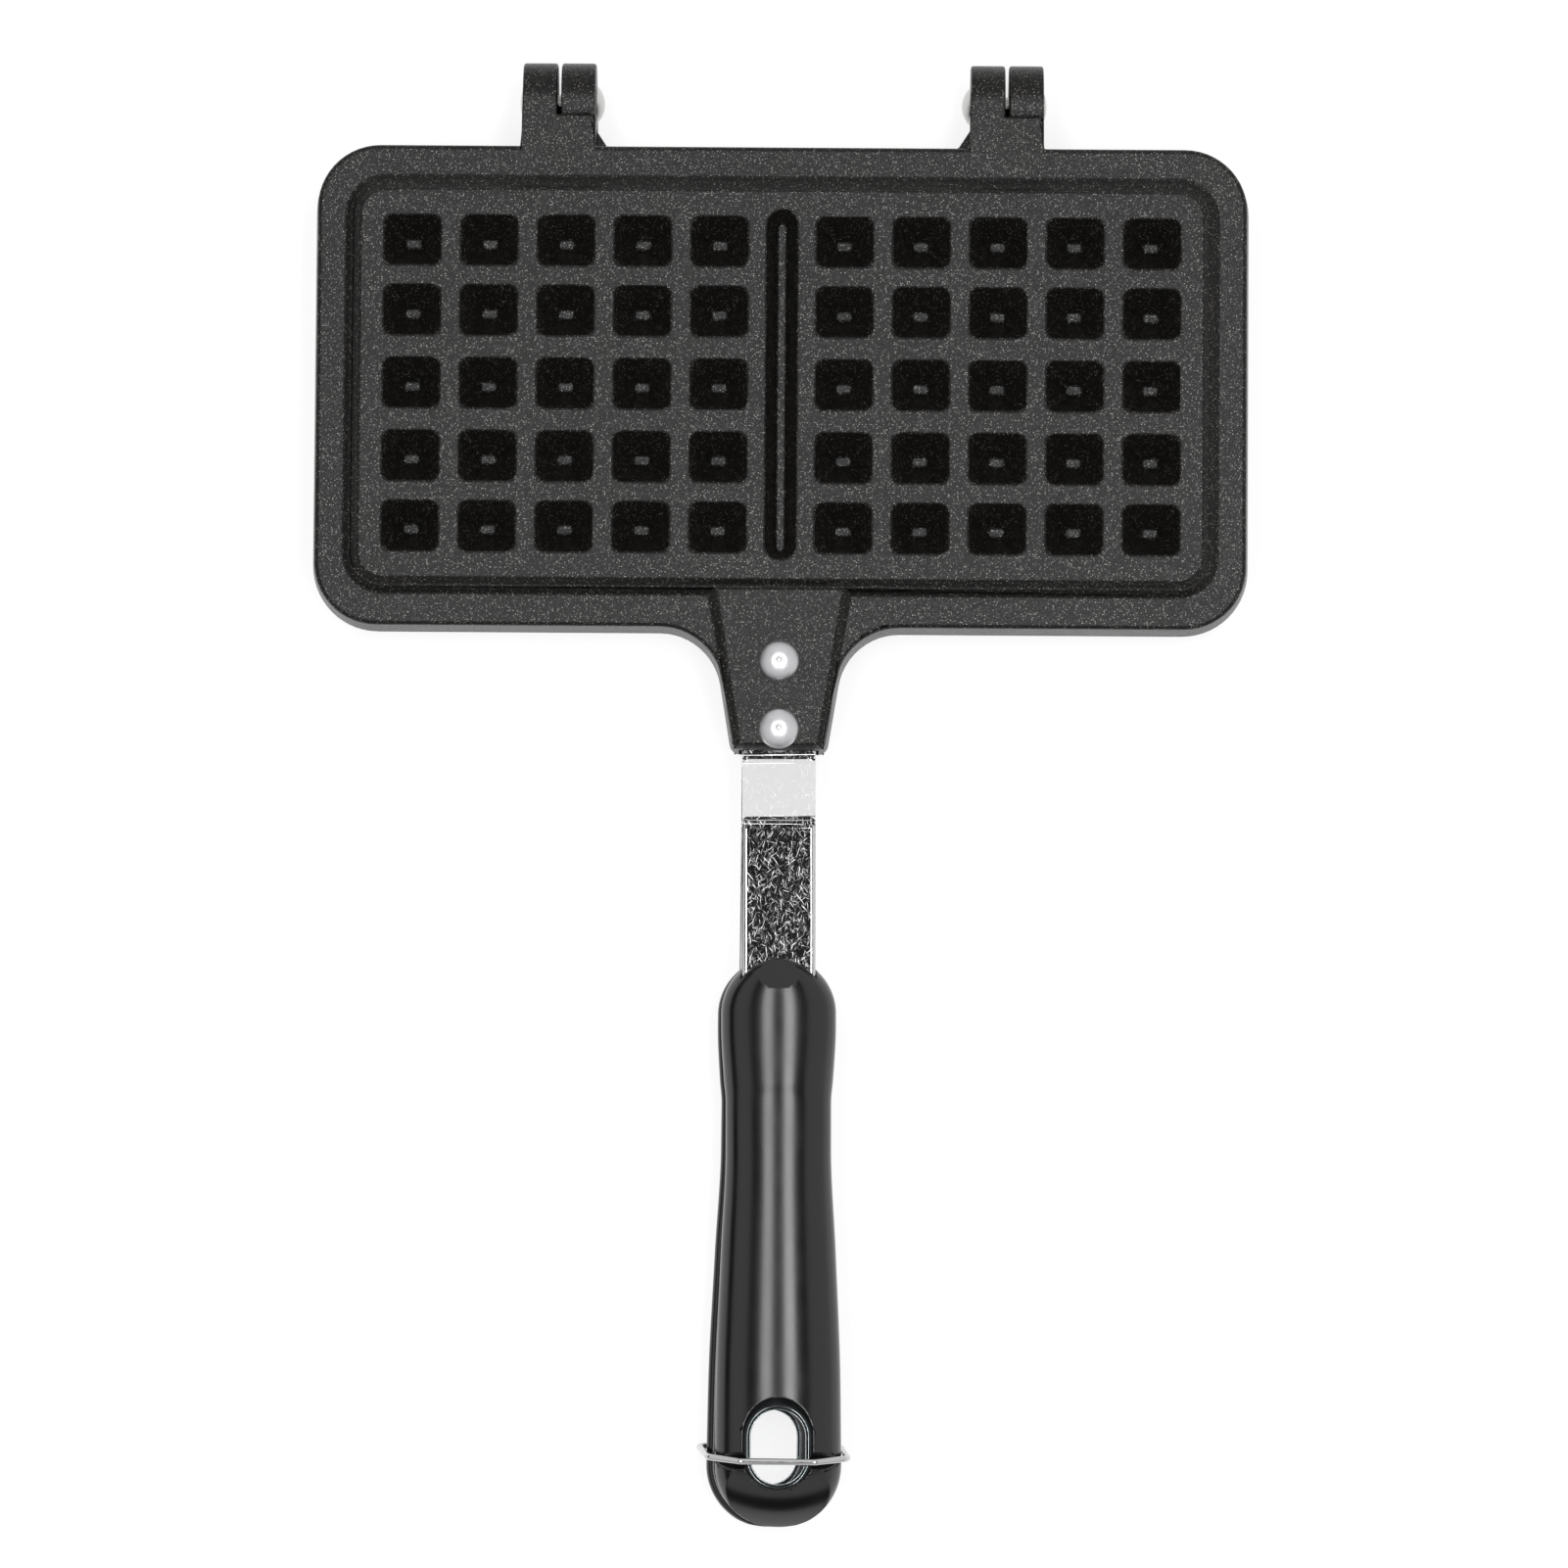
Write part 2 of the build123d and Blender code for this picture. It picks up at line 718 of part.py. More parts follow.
# The lower grip is the same moulding, with a blind hole in each side for the clip's toes
with BuildPart() as lower_grip:
    add(turned_over(upper_grip.part))
    for side in (-1, 1):
        toe_plane = Plane(origin=(side * toe_inner, pivot_y, pivot_z), x_dir=(0, 1, 0), z_dir=(side, 0, 0))
        with BuildSketch(toe_plane):
            Circle(wire_diameter / 2 + running_clearance)
        extrude(amount=leg_half, mode=Mode.SUBTRACT)

# Liner of the hanging hole
with BuildPart() as ring:
    with BuildSketch(level(grip_floor + ring_sink)):
        with Locations((0, hole_y)):
            SlotOverall(ring_length, ring_width, rotation=90)
            SlotOverall(
                ring_length - 2 * ring_wall, ring_width - 2 * ring_wall, rotation=90, mode=Mode.SUBTRACT
            )
    extrude(amount=ring_top - grip_floor - ring_sink)

# Grip screw: a low round head and a shank that bites into the grip above the strap
with BuildPart() as screw:
    with BuildSketch(level(grip_floor + screw_head_sink)):
        Circle(screw_head_diameter / 2)
    extrude(amount=screw_head_height)
    with BuildSketch(level(grip_floor + screw_head_sink + screw_head_height)):
        Circle(screw_diameter / 2)
    extrude(amount=tang_top + screw_bite - grip_floor - screw_head_sink - screw_head_height)

# Clip: drawn square to the lower grip, whose middle line leans the other way from the upper grip's
handle_shift = 2 * math.tan(math.radians(lean)) * (sum(rivet_ys) / 2 - pivot_y)
shoulder_y = bar_y + shoulder_offset
shoulder_z = parting_z + shoulder_height
bar_z = parting_z + bar_height
with BuildPart() as clip_wire:
    with BuildLine() as wire_path:
        FilletPolyline(
            (-toe_inner - socket_gap, pivot_y, pivot_z),
            (-leg_half, pivot_y, pivot_z),
            (handle_shift - shoulder_half, shoulder_y, shoulder_z),
            (handle_shift - bar_half, bar_y, bar_z),
            (handle_shift + bar_half, bar_y, bar_z),
            (handle_shift + shoulder_half, shoulder_y, shoulder_z),
            (leg_half, pivot_y, pivot_z),
            (toe_inner + socket_gap, pivot_y, pivot_z),
            radius=wire_bend,
        )
    with BuildSketch(Plane(origin=wire_path.line @ 0, z_dir=wire_path.line % 0)):
        Circle(wire_diameter / 2)
    sweep(path=wire_path.line)

pieces = {
    "upper_plate": upper_plate.part,
    "right_hinge_pin": right_hinge_pin.part,
    "left_hinge_pin": turned_over(right_hinge_pin.part),
    "upper_strap": upper_strap.part,
    "upper_front_rivet": Pos(0, rivet_ys[1]) * rivet.part,
    "upper_rear_rivet": Pos(0, rivet_ys[0]) * rivet.part,
    "upper_grip": leaned(upper_grip.part),
    "upper_hanging_ring": leaned(ring.part),
    "upper_front_screw": leaned(Pos(0, screw_ys[1]) * screw.part),
    "upper_rear_screw": leaned(Pos(0, screw_ys[0]) * screw.part),
    "lower_grip": lower_grip.part.rotate(lean_axis, -lean),
    "locking_clip": clip_wire.part.rotate(lean_axis, -lean),
}
for name in list(pieces):
    lower_name = name.replace("upper", "lower")
    if lower_name not in pieces:
        pieces[lower_name] = turned_over(pieces[name])

os.makedirs("parts", exist_ok=True)
for name, piece in pieces.items():
    piece.label = name
    export_step(piece, f"parts/{name}.step")
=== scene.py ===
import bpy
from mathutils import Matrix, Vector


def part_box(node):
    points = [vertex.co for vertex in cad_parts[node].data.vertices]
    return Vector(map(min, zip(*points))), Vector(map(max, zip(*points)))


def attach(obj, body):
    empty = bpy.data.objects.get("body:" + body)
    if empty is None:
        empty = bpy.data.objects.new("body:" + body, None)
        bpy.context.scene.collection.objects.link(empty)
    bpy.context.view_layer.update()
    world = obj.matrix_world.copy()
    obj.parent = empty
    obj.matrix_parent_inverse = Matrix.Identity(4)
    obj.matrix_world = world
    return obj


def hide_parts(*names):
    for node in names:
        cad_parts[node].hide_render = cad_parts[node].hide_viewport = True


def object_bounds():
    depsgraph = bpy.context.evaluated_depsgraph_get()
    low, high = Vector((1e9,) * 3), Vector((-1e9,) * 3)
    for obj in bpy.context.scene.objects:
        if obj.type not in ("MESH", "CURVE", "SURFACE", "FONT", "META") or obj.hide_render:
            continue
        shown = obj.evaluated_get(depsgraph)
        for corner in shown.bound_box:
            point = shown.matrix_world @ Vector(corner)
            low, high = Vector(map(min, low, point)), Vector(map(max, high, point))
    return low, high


bl_info = {
    "name": "Stovetop Waffle Pan",
    "version": (1, 0, 0),
    "blender": (4, 5, 0),
    "location": "View3D > Sidebar > Waffle Pan",
    "description": "Builds the looks of a hinged stovetop waffle pan around its packed CAD model",
    "category": "Object",
}

import math

import bmesh
import bpy
from mathutils import Matrix, Vector
from mathutils.bvhtree import BVHTree

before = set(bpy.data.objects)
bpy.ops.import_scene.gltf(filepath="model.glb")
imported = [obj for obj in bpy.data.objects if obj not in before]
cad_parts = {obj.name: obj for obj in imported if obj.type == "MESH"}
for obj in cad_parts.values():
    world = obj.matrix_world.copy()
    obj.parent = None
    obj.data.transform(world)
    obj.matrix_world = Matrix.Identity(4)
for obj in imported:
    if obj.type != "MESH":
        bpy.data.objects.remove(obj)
cad_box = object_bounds()

MM = 0.001
# Faces that meet at less than the first angle are made one, and at less than the second are shaded
# as one smooth surface
FLAT = math.radians(0.15)
SOFT_EDGE = math.radians(32)

# The two halves' parts, upper and lower, and the body each rides on
HALVES = {"upper": "upper_half", "lower": "lower_half"}

# Places read from the CAD parts in model.glb
PARTING_Z = sum(corner.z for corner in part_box("right_hinge_pin")) / 2
FRONT_RIVET_Y = sum(corner.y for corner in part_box("upper_front_rivet")) / 2
REAR_RIVET_Y = sum(corner.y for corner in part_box("upper_rear_rivet")) / 2
NOSE_TIP_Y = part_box("upper_grip")[1].y
TANG_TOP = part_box("upper_strap")[1].z - PARTING_Z

# Sizes below are in metres. Heights are above the parting plane between the two halves.
# Each handle leans a little to its own side, about its rivets
HANDLE_LEAN = math.radians(0.33)

# Grip: a flat floor, short upright sides and an elliptical crown, with a nose and an end round in plan
GRIP_LENGTH = 143 * MM
GRIP_FLOOR = 1 * MM
GRIP_SIDE = 3.5 * MM
GRIP_EDGE = 2 * MM
GRIP_CREASE = math.radians(24)
NOSE_HALF = 14.4 * MM
NOSE_BLUNTNESS = 3
END_HALF = 15.8 * MM
GRIP_STATIONS = (
    # distance from the middle of the nose, half width, thickness
    (0 * MM, NOSE_HALF, 12.3 * MM),
    (3 * MM, NOSE_HALF, 12.3 * MM),
    (16.4 * MM, 13.7 * MM, 12.3 * MM),
    (22.2 * MM, 13.2 * MM, 11.45 * MM),
    (34 * MM, 13.2 * MM, 11.6 * MM),
    (60 * MM, 14.4 * MM, 12.6 * MM),
    (92 * MM, 15.6 * MM, 13.1 * MM),
    (GRIP_LENGTH - NOSE_HALF - END_HALF, END_HALF, 13.3 * MM),
)

# Flat facet on the nose, over the strap
FACET_START = 8 * MM
FACET_HEIGHT = 12.9 * MM
FACET_ANGLE = math.radians(24)

# Hanging hole, the flared recess round it, the groove for the clip's bar and the barrel that the clip
# swings round
HOLE_FROM_END = 20.3 * MM
HOLE_WIDTH = 15.7 * MM
HOLE_LENGTH = 20.7 * MM
RECESS_FLOOR = 11 * MM
RECESS_SLOPE = math.radians(33)
RECESS_HEIGHT = 4 * MM
LINER_EDGE = 0.2 * MM
BAR_FROM_HOLE = 3.6 * MM
GROOVE_FLOOR = 11.4 * MM
GROOVE_RADIUS = 25 * MM
GROOVE_HALF_ANGLE = math.radians(41)
GROOVE_REACH = 5 * MM
PIVOT_DROP = 8.5 * MM
BARREL_RADIUS = 22.6 * MM
BARREL_HALF = 17.4 * MM
BARREL_DROP = 4.6 * MM

# Strap's tang and the screws that hold it in the grip
STRAP_WIDTH = 18.4 * MM
STRAP_THICKNESS = 2.5 * MM
TANG_WIDTH = 13.5 * MM
TANG_SHOULDER = 10 * MM
TANG_LENGTH = 48 * MM
SOCKET_GAP = 0.15 * MM
SCREWS_FROM_TIP = (22 * MM, 40 * MM)
SCREW_HEAD_RADIUS = 3.5 * MM
SCREW_HEAD_HEIGHT = 2 * MM
SCREW_HEAD_SINK = 0.3 * MM
SCREW_HEAD_DOME = 0.5 * MM
SCREW_RADIUS = 2 * MM
SCREW_RECESS_DEPTH = 1.1 * MM
SCREW_RECESS_ARM = 2.2 * MM
SCREW_RECESS_HALF = 0.45 * MM

# Rivets: a domed head with turned rings and a nib, a shank and a flat set head
RIVET_HEAD_RADIUS = 5.1 * MM
RIVET_HEAD_HEIGHT = 2.8 * MM
RIVET_HEAD_EDGE = 0.4 * MM
RIVET_RADIUS = 2.5 * MM
RIVET_TAIL_RADIUS = 4.25 * MM
RIVET_TAIL_HEIGHT = 1.6 * MM
# The real tool marks are finer, too fine to show, so the rings are drawn about twice as coarse
TURNED_RING = 0.6 * MM
TURNED_DEPTH = 0.08 * MM
TURNED_CREASE = math.radians(60)
NIB_RADIUS = 1.1 * MM

# Hinge pins: a domed head at one end and a smaller riveted tail at the other
PIN_RADIUS = 2.5 * MM
PIN_HEAD_RADIUS = 4.65 * MM
PIN_HEAD_HEIGHT = 1.9 * MM
PIN_TAIL_RADIUS = 3.4 * MM
PIN_TAIL_HEIGHT = 0.6 * MM

# Studio, in metres: two strip lamps abreast of the handle, the right one stronger, and a soft lamp past
# the hinge. Each black card has its place, the point it faces and its size.
STRIP_SIDE = 0.5
STRIP_HEIGHT = 2.05
STRIP_SIZE = (0.46, 1.7)
STRIP_AIM = (0, -0.15, 0)
RIGHT_STRIP_SHARE = 1.25
HINGE_LAMP_PLACE = (0, 1.0, 2.0)
HINGE_LAMP_SIZE = (0.8, 1.7)
CARDS = {
    "overhead_card": ((0, 0, 2.6), (0, 0, 0), (4.2, 4.2)),
    "handle_side_card": ((0, -2.6, 0.5), (0, 0, 0.5), (1.0, 6.0)),
    "left_card": ((-2.6, 0, 0.4), (0, 0, 0.4), (0.8, 6.0)),
}
# Strength of the paper's own white, and of the room as it lights the pan and as it is seen
PAPER_WHITE = 0.78
ROOM_FILL = 0.35
ROOM_SEEN = 0.85

CAMERA_PLACE = (12.9 * MM, -156.0 * MM, 2144.5 * MM)
CAMERA_TURN = (math.radians(4.246), math.radians(0.280), math.radians(0.411))
SENSOR_WIDTH = 36.0


def linear(hex_colour):
    """The linear colour of an sRGB hex value."""
    parts = [int(hex_colour[i:i + 2], 16) / 255 for i in (1, 3, 5)]
    return [part / 12.92 if part <= 0.04045 else ((part + 0.055) / 1.055) ** 2.4 for part in parts]


def colour(name, description, hex_colour):
    """A colour property with its default written as a hex value."""
    return bpy.props.FloatVectorProperty(
        name=name, description=description, subtype="COLOR",
        size=3, min=0, max=1, default=linear(hex_colour),
    )


def length(name, description, millimetres):
    """A length property with its default written in millimetres."""
    return bpy.props.FloatProperty(
        name=name, description=description, unit="LENGTH",
        min=0, precision=5, default=millimetres * MM,
    )


def share(name, description, default):
    """A property from nought to one."""
    return bpy.props.FloatProperty(
        name=name, description=description, subtype="FACTOR", min=0, max=1, default=default
    )


def watts(name, description, default):
    """A lamp's power."""
    return bpy.props.FloatProperty(
        name=name, description=description, subtype="POWER", min=0, default=default
    )


class CastingProperties(bpy.types.PropertyGroup):
    """The two coated castings."""

    edge: length("Cast edge", "Rounding of the castings' edges", 0.6)
    coat: colour("Coating", "Body colour of the non-stick coating", "#11100f")
    flake: colour("Flakes", "Mineral flakes that lie bare in the coating", "#77746b")
    flake_pitch: length("Flake pitch", "Distance from flake to flake", 0.44)
    film_gloss: share("Film gloss", "Mirror strength of the film between the flakes", 0.2)
    flake_gloss: share("Flake gloss", "Mirror strength of the brightest flakes", 1.0)
    roughness: share("Roughness", "Roughness of the coating", 0.32)


class MetalProperties(bpy.types.PropertyGroup):
    """Straps, rivets, hinge pins, screws, liners and the clip."""

    strap_edge: length("Strap edge", "Rounding of the straps' rolled edges", 1.24)
    steel: colour("Strap steel", "Stamped stainless steel", "#d2d2d3")
    bend: length("Strap bend", "Length over which the straps' bends are eased", 1.8)
    scratch_pitch: length("Scratch pitch", "Width of the straps' handling scratches", 0.22)
    rivet: colour("Rivet aluminium", "Turned aluminium rivet heads", "#d2d2d4")
    pin: colour("Pin steel", "Plated steel of pins and screws", "#c2c2c0")
    liner: colour("Liner steel", "Bright drawn liner of the hanging hole", "#b0b8bb")
    wire: colour("Clip wire", "Bright drawn spring wire", "#c6c6c6")


class GripProperties(bpy.types.PropertyGroup):
    """The two moulded grips."""

    edge: length("Moulded edge", "Rounding of the grips' cut edges", 0.25)
    plastic: colour("Grip plastic", "Black phenolic moulding", "#0b0b0c")
    roughness: share("Roughness", "Roughness of the moulding", 0.21)


class StudioProperties(bpy.types.PropertyGroup):
    """Floor, lamps and camera."""

    strip_power: watts("Strip lamps", "Power of the left strip lamp", 17.5)
    top_power: watts("Top lamp", "Power of the soft lamp above the hinge side", 5.0)
    floor: colour("Floor", "Pale studio floor", "#929292")
    card: colour("Cards", "Black cards that keep glare off the pan", "#262626")
    floor_size: bpy.props.FloatProperty(
        name="Floor size", description="Side of the floor", unit="LENGTH", default=30.0
    )
    lens: bpy.props.FloatProperty(
        name="Lens", description="Focal length on a 36 mm sensor",
        subtype="DISTANCE_CAMERA", default=194.9,
    )


def smooth_between(stations, place, which):
    """One value of the stations, read at a place off a smooth curve that swings past none of them."""
    places = [station[0] for station in stations]
    values = [station[which] for station in stations]
    last = len(places) - 1
    climbs = [(values[i + 1] - values[i]) / (places[i + 1] - places[i]) for i in range(last)]
    slopes = [climbs[0]]
    for before, after in zip(climbs, climbs[1:]):
        slopes.append(2 * before * after / (before + after) if before * after > 0 else 0)
    slopes.append(climbs[-1])
    i = max(n for n in range(last) if places[n] <= place)
    span = places[i + 1] - places[i]
    t = (place - places[i]) / span
    return (
        values[i] * (2 * t**3 - 3 * t**2 + 1)
        + slopes[i] * span * (t**3 - 2 * t**2 + t)
        + values[i + 1] * (3 * t**2 - 2 * t**3)
        + slopes[i + 1] * span * (t**3 - t**2)
    )


def only(piece):
    """Selects one object alone and makes it active."""
    bpy.ops.object.select_all(action="DESELECT")
    piece.select_set(True)
    bpy.context.view_layer.objects.active = piece


def apply_modifier(piece, kind, **settings):
    """Adds a modifier with its settings and applies it."""
    only(piece)
    modifier = piece.modifiers.new(kind.title(), kind)
    for name, value in settings.items():
        setattr(modifier, name, value)
    bpy.ops.object.modifier_apply(modifier=modifier.name)


def round_edges(piece, width, segments, least_angle):
    """Rounds the edges at which a piece turns by at least an angle."""
    apply_modifier(
        piece, "BEVEL", width=width, segments=segments, limit_method="ANGLE",
        angle_limit=least_angle, use_clamp_overlap=False,
    )


def from_cad(node, merge=0.002 * MM):
    """A new piece with the shape of a CAD node, its loose triangles merged into flat faces."""
    piece = bpy.data.objects.new(f"{node}_finished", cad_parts[node].data.copy())
    bpy.context.scene.collection.objects.link(piece)
    piece.data.materials.clear()
    only(piece)
    bpy.ops.object.mode_set(mode="EDIT")
    bpy.ops.mesh.select_all(action="SELECT")
    bpy.ops.mesh.remove_doubles(threshold=merge)
    bpy.ops.mesh.dissolve_limited(angle_limit=FLAT)
    bpy.ops.object.mode_set(mode="OBJECT")
    return piece


def pull_in(piece, node, reach):
    """Brings back to the CAD surface the few corners that rounding has thrown out of it."""
    surface = BVHTree.FromObject(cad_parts[node], bpy.context.evaluated_depsgraph_get())
    for vertex in piece.data.vertices:
        nearest, _, _, distance = surface.find_nearest(vertex.co)
        if distance > reach:
            vertex.co = nearest


def close_form(merge=0.001 * MM):
    """Merges the active form's doubles and turns its faces outwards."""
    bpy.ops.object.mode_set(mode="EDIT")
    bpy.ops.mesh.select_all(action="SELECT")
    bpy.ops.mesh.remove_doubles(threshold=merge)
    bpy.ops.mesh.normals_make_consistent(inside=False)
    bpy.ops.object.mode_set(mode="OBJECT")
    return bpy.context.object


def turned_form(profile, vertices=64, hollow=False):
    """A form turned about the Z axis: a circle drawn out through rings of a radius and a height."""
    bpy.ops.object.select_all(action="DESELECT")
    radius, height = profile[0]
    bpy.ops.mesh.primitive_circle_add(
        vertices=vertices, radius=radius, location=(0, 0, height),
        fill_type="NOTHING" if hollow else "NGON",
    )
    bpy.ops.object.transform_apply(location=True, rotation=False, scale=False)
    bpy.ops.object.mode_set(mode="EDIT")
    for next_radius, next_height in profile[1:]:
        rise = (0, 0, next_height - height)
        bpy.ops.mesh.extrude_region_move(TRANSFORM_OT_translate={"value": rise})
        grow = next_radius / radius
        bpy.ops.transform.resize(value=(grow, grow, 1), center_override=(0, 0, 0))
        radius, height = next_radius, next_height
    bpy.ops.object.mode_set(mode="OBJECT")
    return close_form()


def block(low, high):
    """A plain block between two corners, to cut with."""
    bpy.ops.object.select_all(action="DESELECT")
    bpy.ops.mesh.primitive_cube_add(size=1, location=[(a + b) / 2 for a, b in zip(low, high)])
    bpy.ops.transform.resize(value=[b - a for a, b in zip(low, high)])
    bpy.ops.object.transform_apply(location=True, rotation=False, scale=True)
    return bpy.context.object


def cut(piece, cutter):
    """Takes one form out of a piece and throws the cutter away."""
    apply_modifier(piece, "BOOLEAN", operation="DIFFERENCE", solver="EXACT", object=cutter)
    bpy.data.objects.remove(cutter)


def placed_copy(master, name, turn):
    """A copy of a form with its own mesh, turned and moved into its place."""
    piece = bpy.data.objects.new(name, master.data.copy())
    bpy.context.scene.collection.objects.link(piece)
    piece.data.transform(turn)
    return piece


def turned_over(angle):
    """A turn about the Y line in the parting plane, which swaps the halves or the sides."""
    about = Matrix.Translation((0, 0, PARTING_Z))
    return about @ Matrix.Rotation(angle, 4, "Y") @ about.inverted()


def half_place(half, leans=False):
    """The move from a drawing above the parting plane to the upper or the lower half."""
    lean_y = (FRONT_RIVET_Y + REAR_RIVET_Y) / 2
    lean = Matrix.Rotation(HANDLE_LEAN if leans else 0, 4, "Z")
    move = Matrix.Translation((0, lean_y, PARTING_Z)) @ lean @ Matrix.Translation((0, -lean_y, 0))
    if half == "upper":
        return move
    return turned_over(math.pi) @ move


def finish_piece(piece, node, body, material, smooth=SOFT_EDGE):
    """Shades a finished piece, gives it its material and lets it stand for its CAD node."""
    only(piece)
    bpy.ops.object.shade_smooth_by_angle(angle=smooth)
    apply_modifier(piece, "WEIGHTED_NORMAL", keep_sharp=True, weight=100)
    piece.data.materials.clear()
    piece.data.materials.append(material)
    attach(piece, body)
    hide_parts(node)


def add_node(material, kind, inputs=None, **settings):
    """Adds a node with its settings, each input a value or another node's output."""
    node = material.node_tree.nodes.new(kind)
    for name, value in settings.items():
        setattr(node, name, value)
    for name, value in (inputs or {}).items():
        if isinstance(value, bpy.types.NodeSocket):
            material.node_tree.links.new(value, node.inputs[name])
        else:
            node.inputs[name].default_value = value
    return node


def blank_material(name):
    """A material with nothing in it but its output."""
    material = bpy.data.materials.new(name)
    material.use_nodes = True
    material.node_tree.nodes.clear()
    return material


def give_surface(material, shader):
    """Ends a material in its surface."""
    add_node(material, "ShaderNodeOutputMaterial", {"Surface": shader.outputs[0]})
    return material


def rgba(values):
    """A colour with its alpha."""
    return (*values, 1.0)


def coating_material(casting):
    """Non-stick coating, sprayed and baked on cast aluminium.

    It gives the eye a near-black satin film full of fine pale flakes, each with a glint of its own.
    """
    material = blank_material("Non-stick Coating")
    place = add_node(material, "ShaderNodeTexCoord").outputs["Object"]

    # The flakes are drawn about twice as coarse as they are, so that they show. Each fills the middle
    # of its cell, and some lie too deep in the film to be seen.
    cells = add_node(
        material, "ShaderNodeTexVoronoi", {"Vector": place, "Scale": 1 / casting.flake_pitch}
    )
    body = add_node(
        material, "ShaderNodeMapRange",
        {"Value": cells.outputs["Distance"], "From Min": 0.5, "From Max": 0.22},
    ).outputs["Result"]
    bare = add_node(
        material, "ShaderNodeMapRange",
        {"Value": cells.outputs["Color"], "From Min": 0.28, "From Max": 0.85},
    ).outputs["Result"]
    flakes = add_node(
        material, "ShaderNodeMath", {0: body, 1: bare}, operation="MULTIPLY"
    ).outputs["Value"]
    glint = add_node(
        material, "ShaderNodeMapRange",
        {"Value": flakes, "To Min": casting.film_gloss, "To Max": casting.flake_gloss},
    ).outputs["Result"]
    strong = add_node(
        material, "ShaderNodeMapRange", {"Value": flakes, "From Min": 0.5, "From Max": 1.0}
    ).outputs["Result"]
    surface = add_node(
        material, "ShaderNodeMix",
        {"Factor": strong, "A": rgba(casting.coat), "B": rgba(casting.flake)},
        data_type="RGBA",
    ).outputs["Result"]

    # The sprayed film is slightly uneven, smoother where it pooled, with a fine grain
    drift = add_node(
        material, "ShaderNodeTexNoise", {"Vector": place, "Scale": 1 / (14 * MM), "Detail": 3.0}
    ).outputs["Fac"]
    roughness = add_node(
        material, "ShaderNodeMapRange",
        {"Value": drift, "To Min": casting.roughness - 0.05, "To Max": casting.roughness + 0.06},
    ).outputs["Result"]
    grain = add_node(
        material, "ShaderNodeTexNoise",
        {"Vector": place, "Scale": 1 / casting.flake_pitch, "Detail": 2.0},
    ).outputs["Fac"]
    relief = add_node(
        material, "ShaderNodeBump", {"Height": grain, "Strength": 1.0, "Distance": 0.1 * MM}
    ).outputs["Normal"]
    film_shader = add_node(
        material, "ShaderNodeBsdfPrincipled",
        {
            "Base Color": surface,
            "Roughness": roughness,
            "Normal": relief,
            "Specular IOR Level": glint,
        },
    )
    return give_surface(material, film_shader)


def grip_material(grip):
    """Phenolic, compression-moulded.

    It gives the eye hard black plastic polished by its mould, with long soft highlights and a faint
    grain.
    """
    material = blank_material("Phenolic Moulding")
    place = add_node(material, "ShaderNodeTexCoord").outputs["Object"]
    grain = add_node(
        material, "ShaderNodeTexNoise", {"Vector": place, "Scale": 1 / (0.7 * MM), "Detail": 3.0}
    ).outputs["Fac"]
    drift = add_node(
        material, "ShaderNodeTexNoise", {"Vector": place, "Scale": 1 / (9 * MM), "Detail": 4.0}
    ).outputs["Fac"]
    roughness = add_node(
        material, "ShaderNodeMapRange",
        {"Value": drift, "To Min": grip.roughness - 0.04, "To Max": grip.roughness + 0.05},
    ).outputs["Result"]
    relief = add_node(
        material, "ShaderNodeBump", {"Height": grain, "Strength": 0.25, "Distance": 0.02 * MM}
    ).outputs["Normal"]
    moulding = add_node(
        material, "ShaderNodeBsdfPrincipled",
        {"Base Color": rgba(grip.plastic), "Roughness": roughness, "Normal": relief, "IOR": 1.55},
    )
    return give_surface(material, moulding)


def metal_material(name, metal_colour, roughness, pitch):
    """Bare metal whose roughness drifts between two values over a pitch."""
    material = blank_material(name)
    place = add_node(material, "ShaderNodeTexCoord").outputs["Object"]
    drift = add_node(
        material, "ShaderNodeTexNoise", {"Vector": place, "Scale": 1 / pitch, "Detail": 4.0}
    ).outputs["Fac"]
    polish = add_node(
        material, "ShaderNodeMapRange",
        {"Value": drift, "To Min": roughness[0], "To Max": roughness[1]},
    ).outputs["Result"]
    metal = add_node(
        material, "ShaderNodeBsdfPrincipled",
        {"Base Color": rgba(metal_colour), "Metallic": 1.0, "Roughness": polish},
    )
    return give_surface(material, metal)


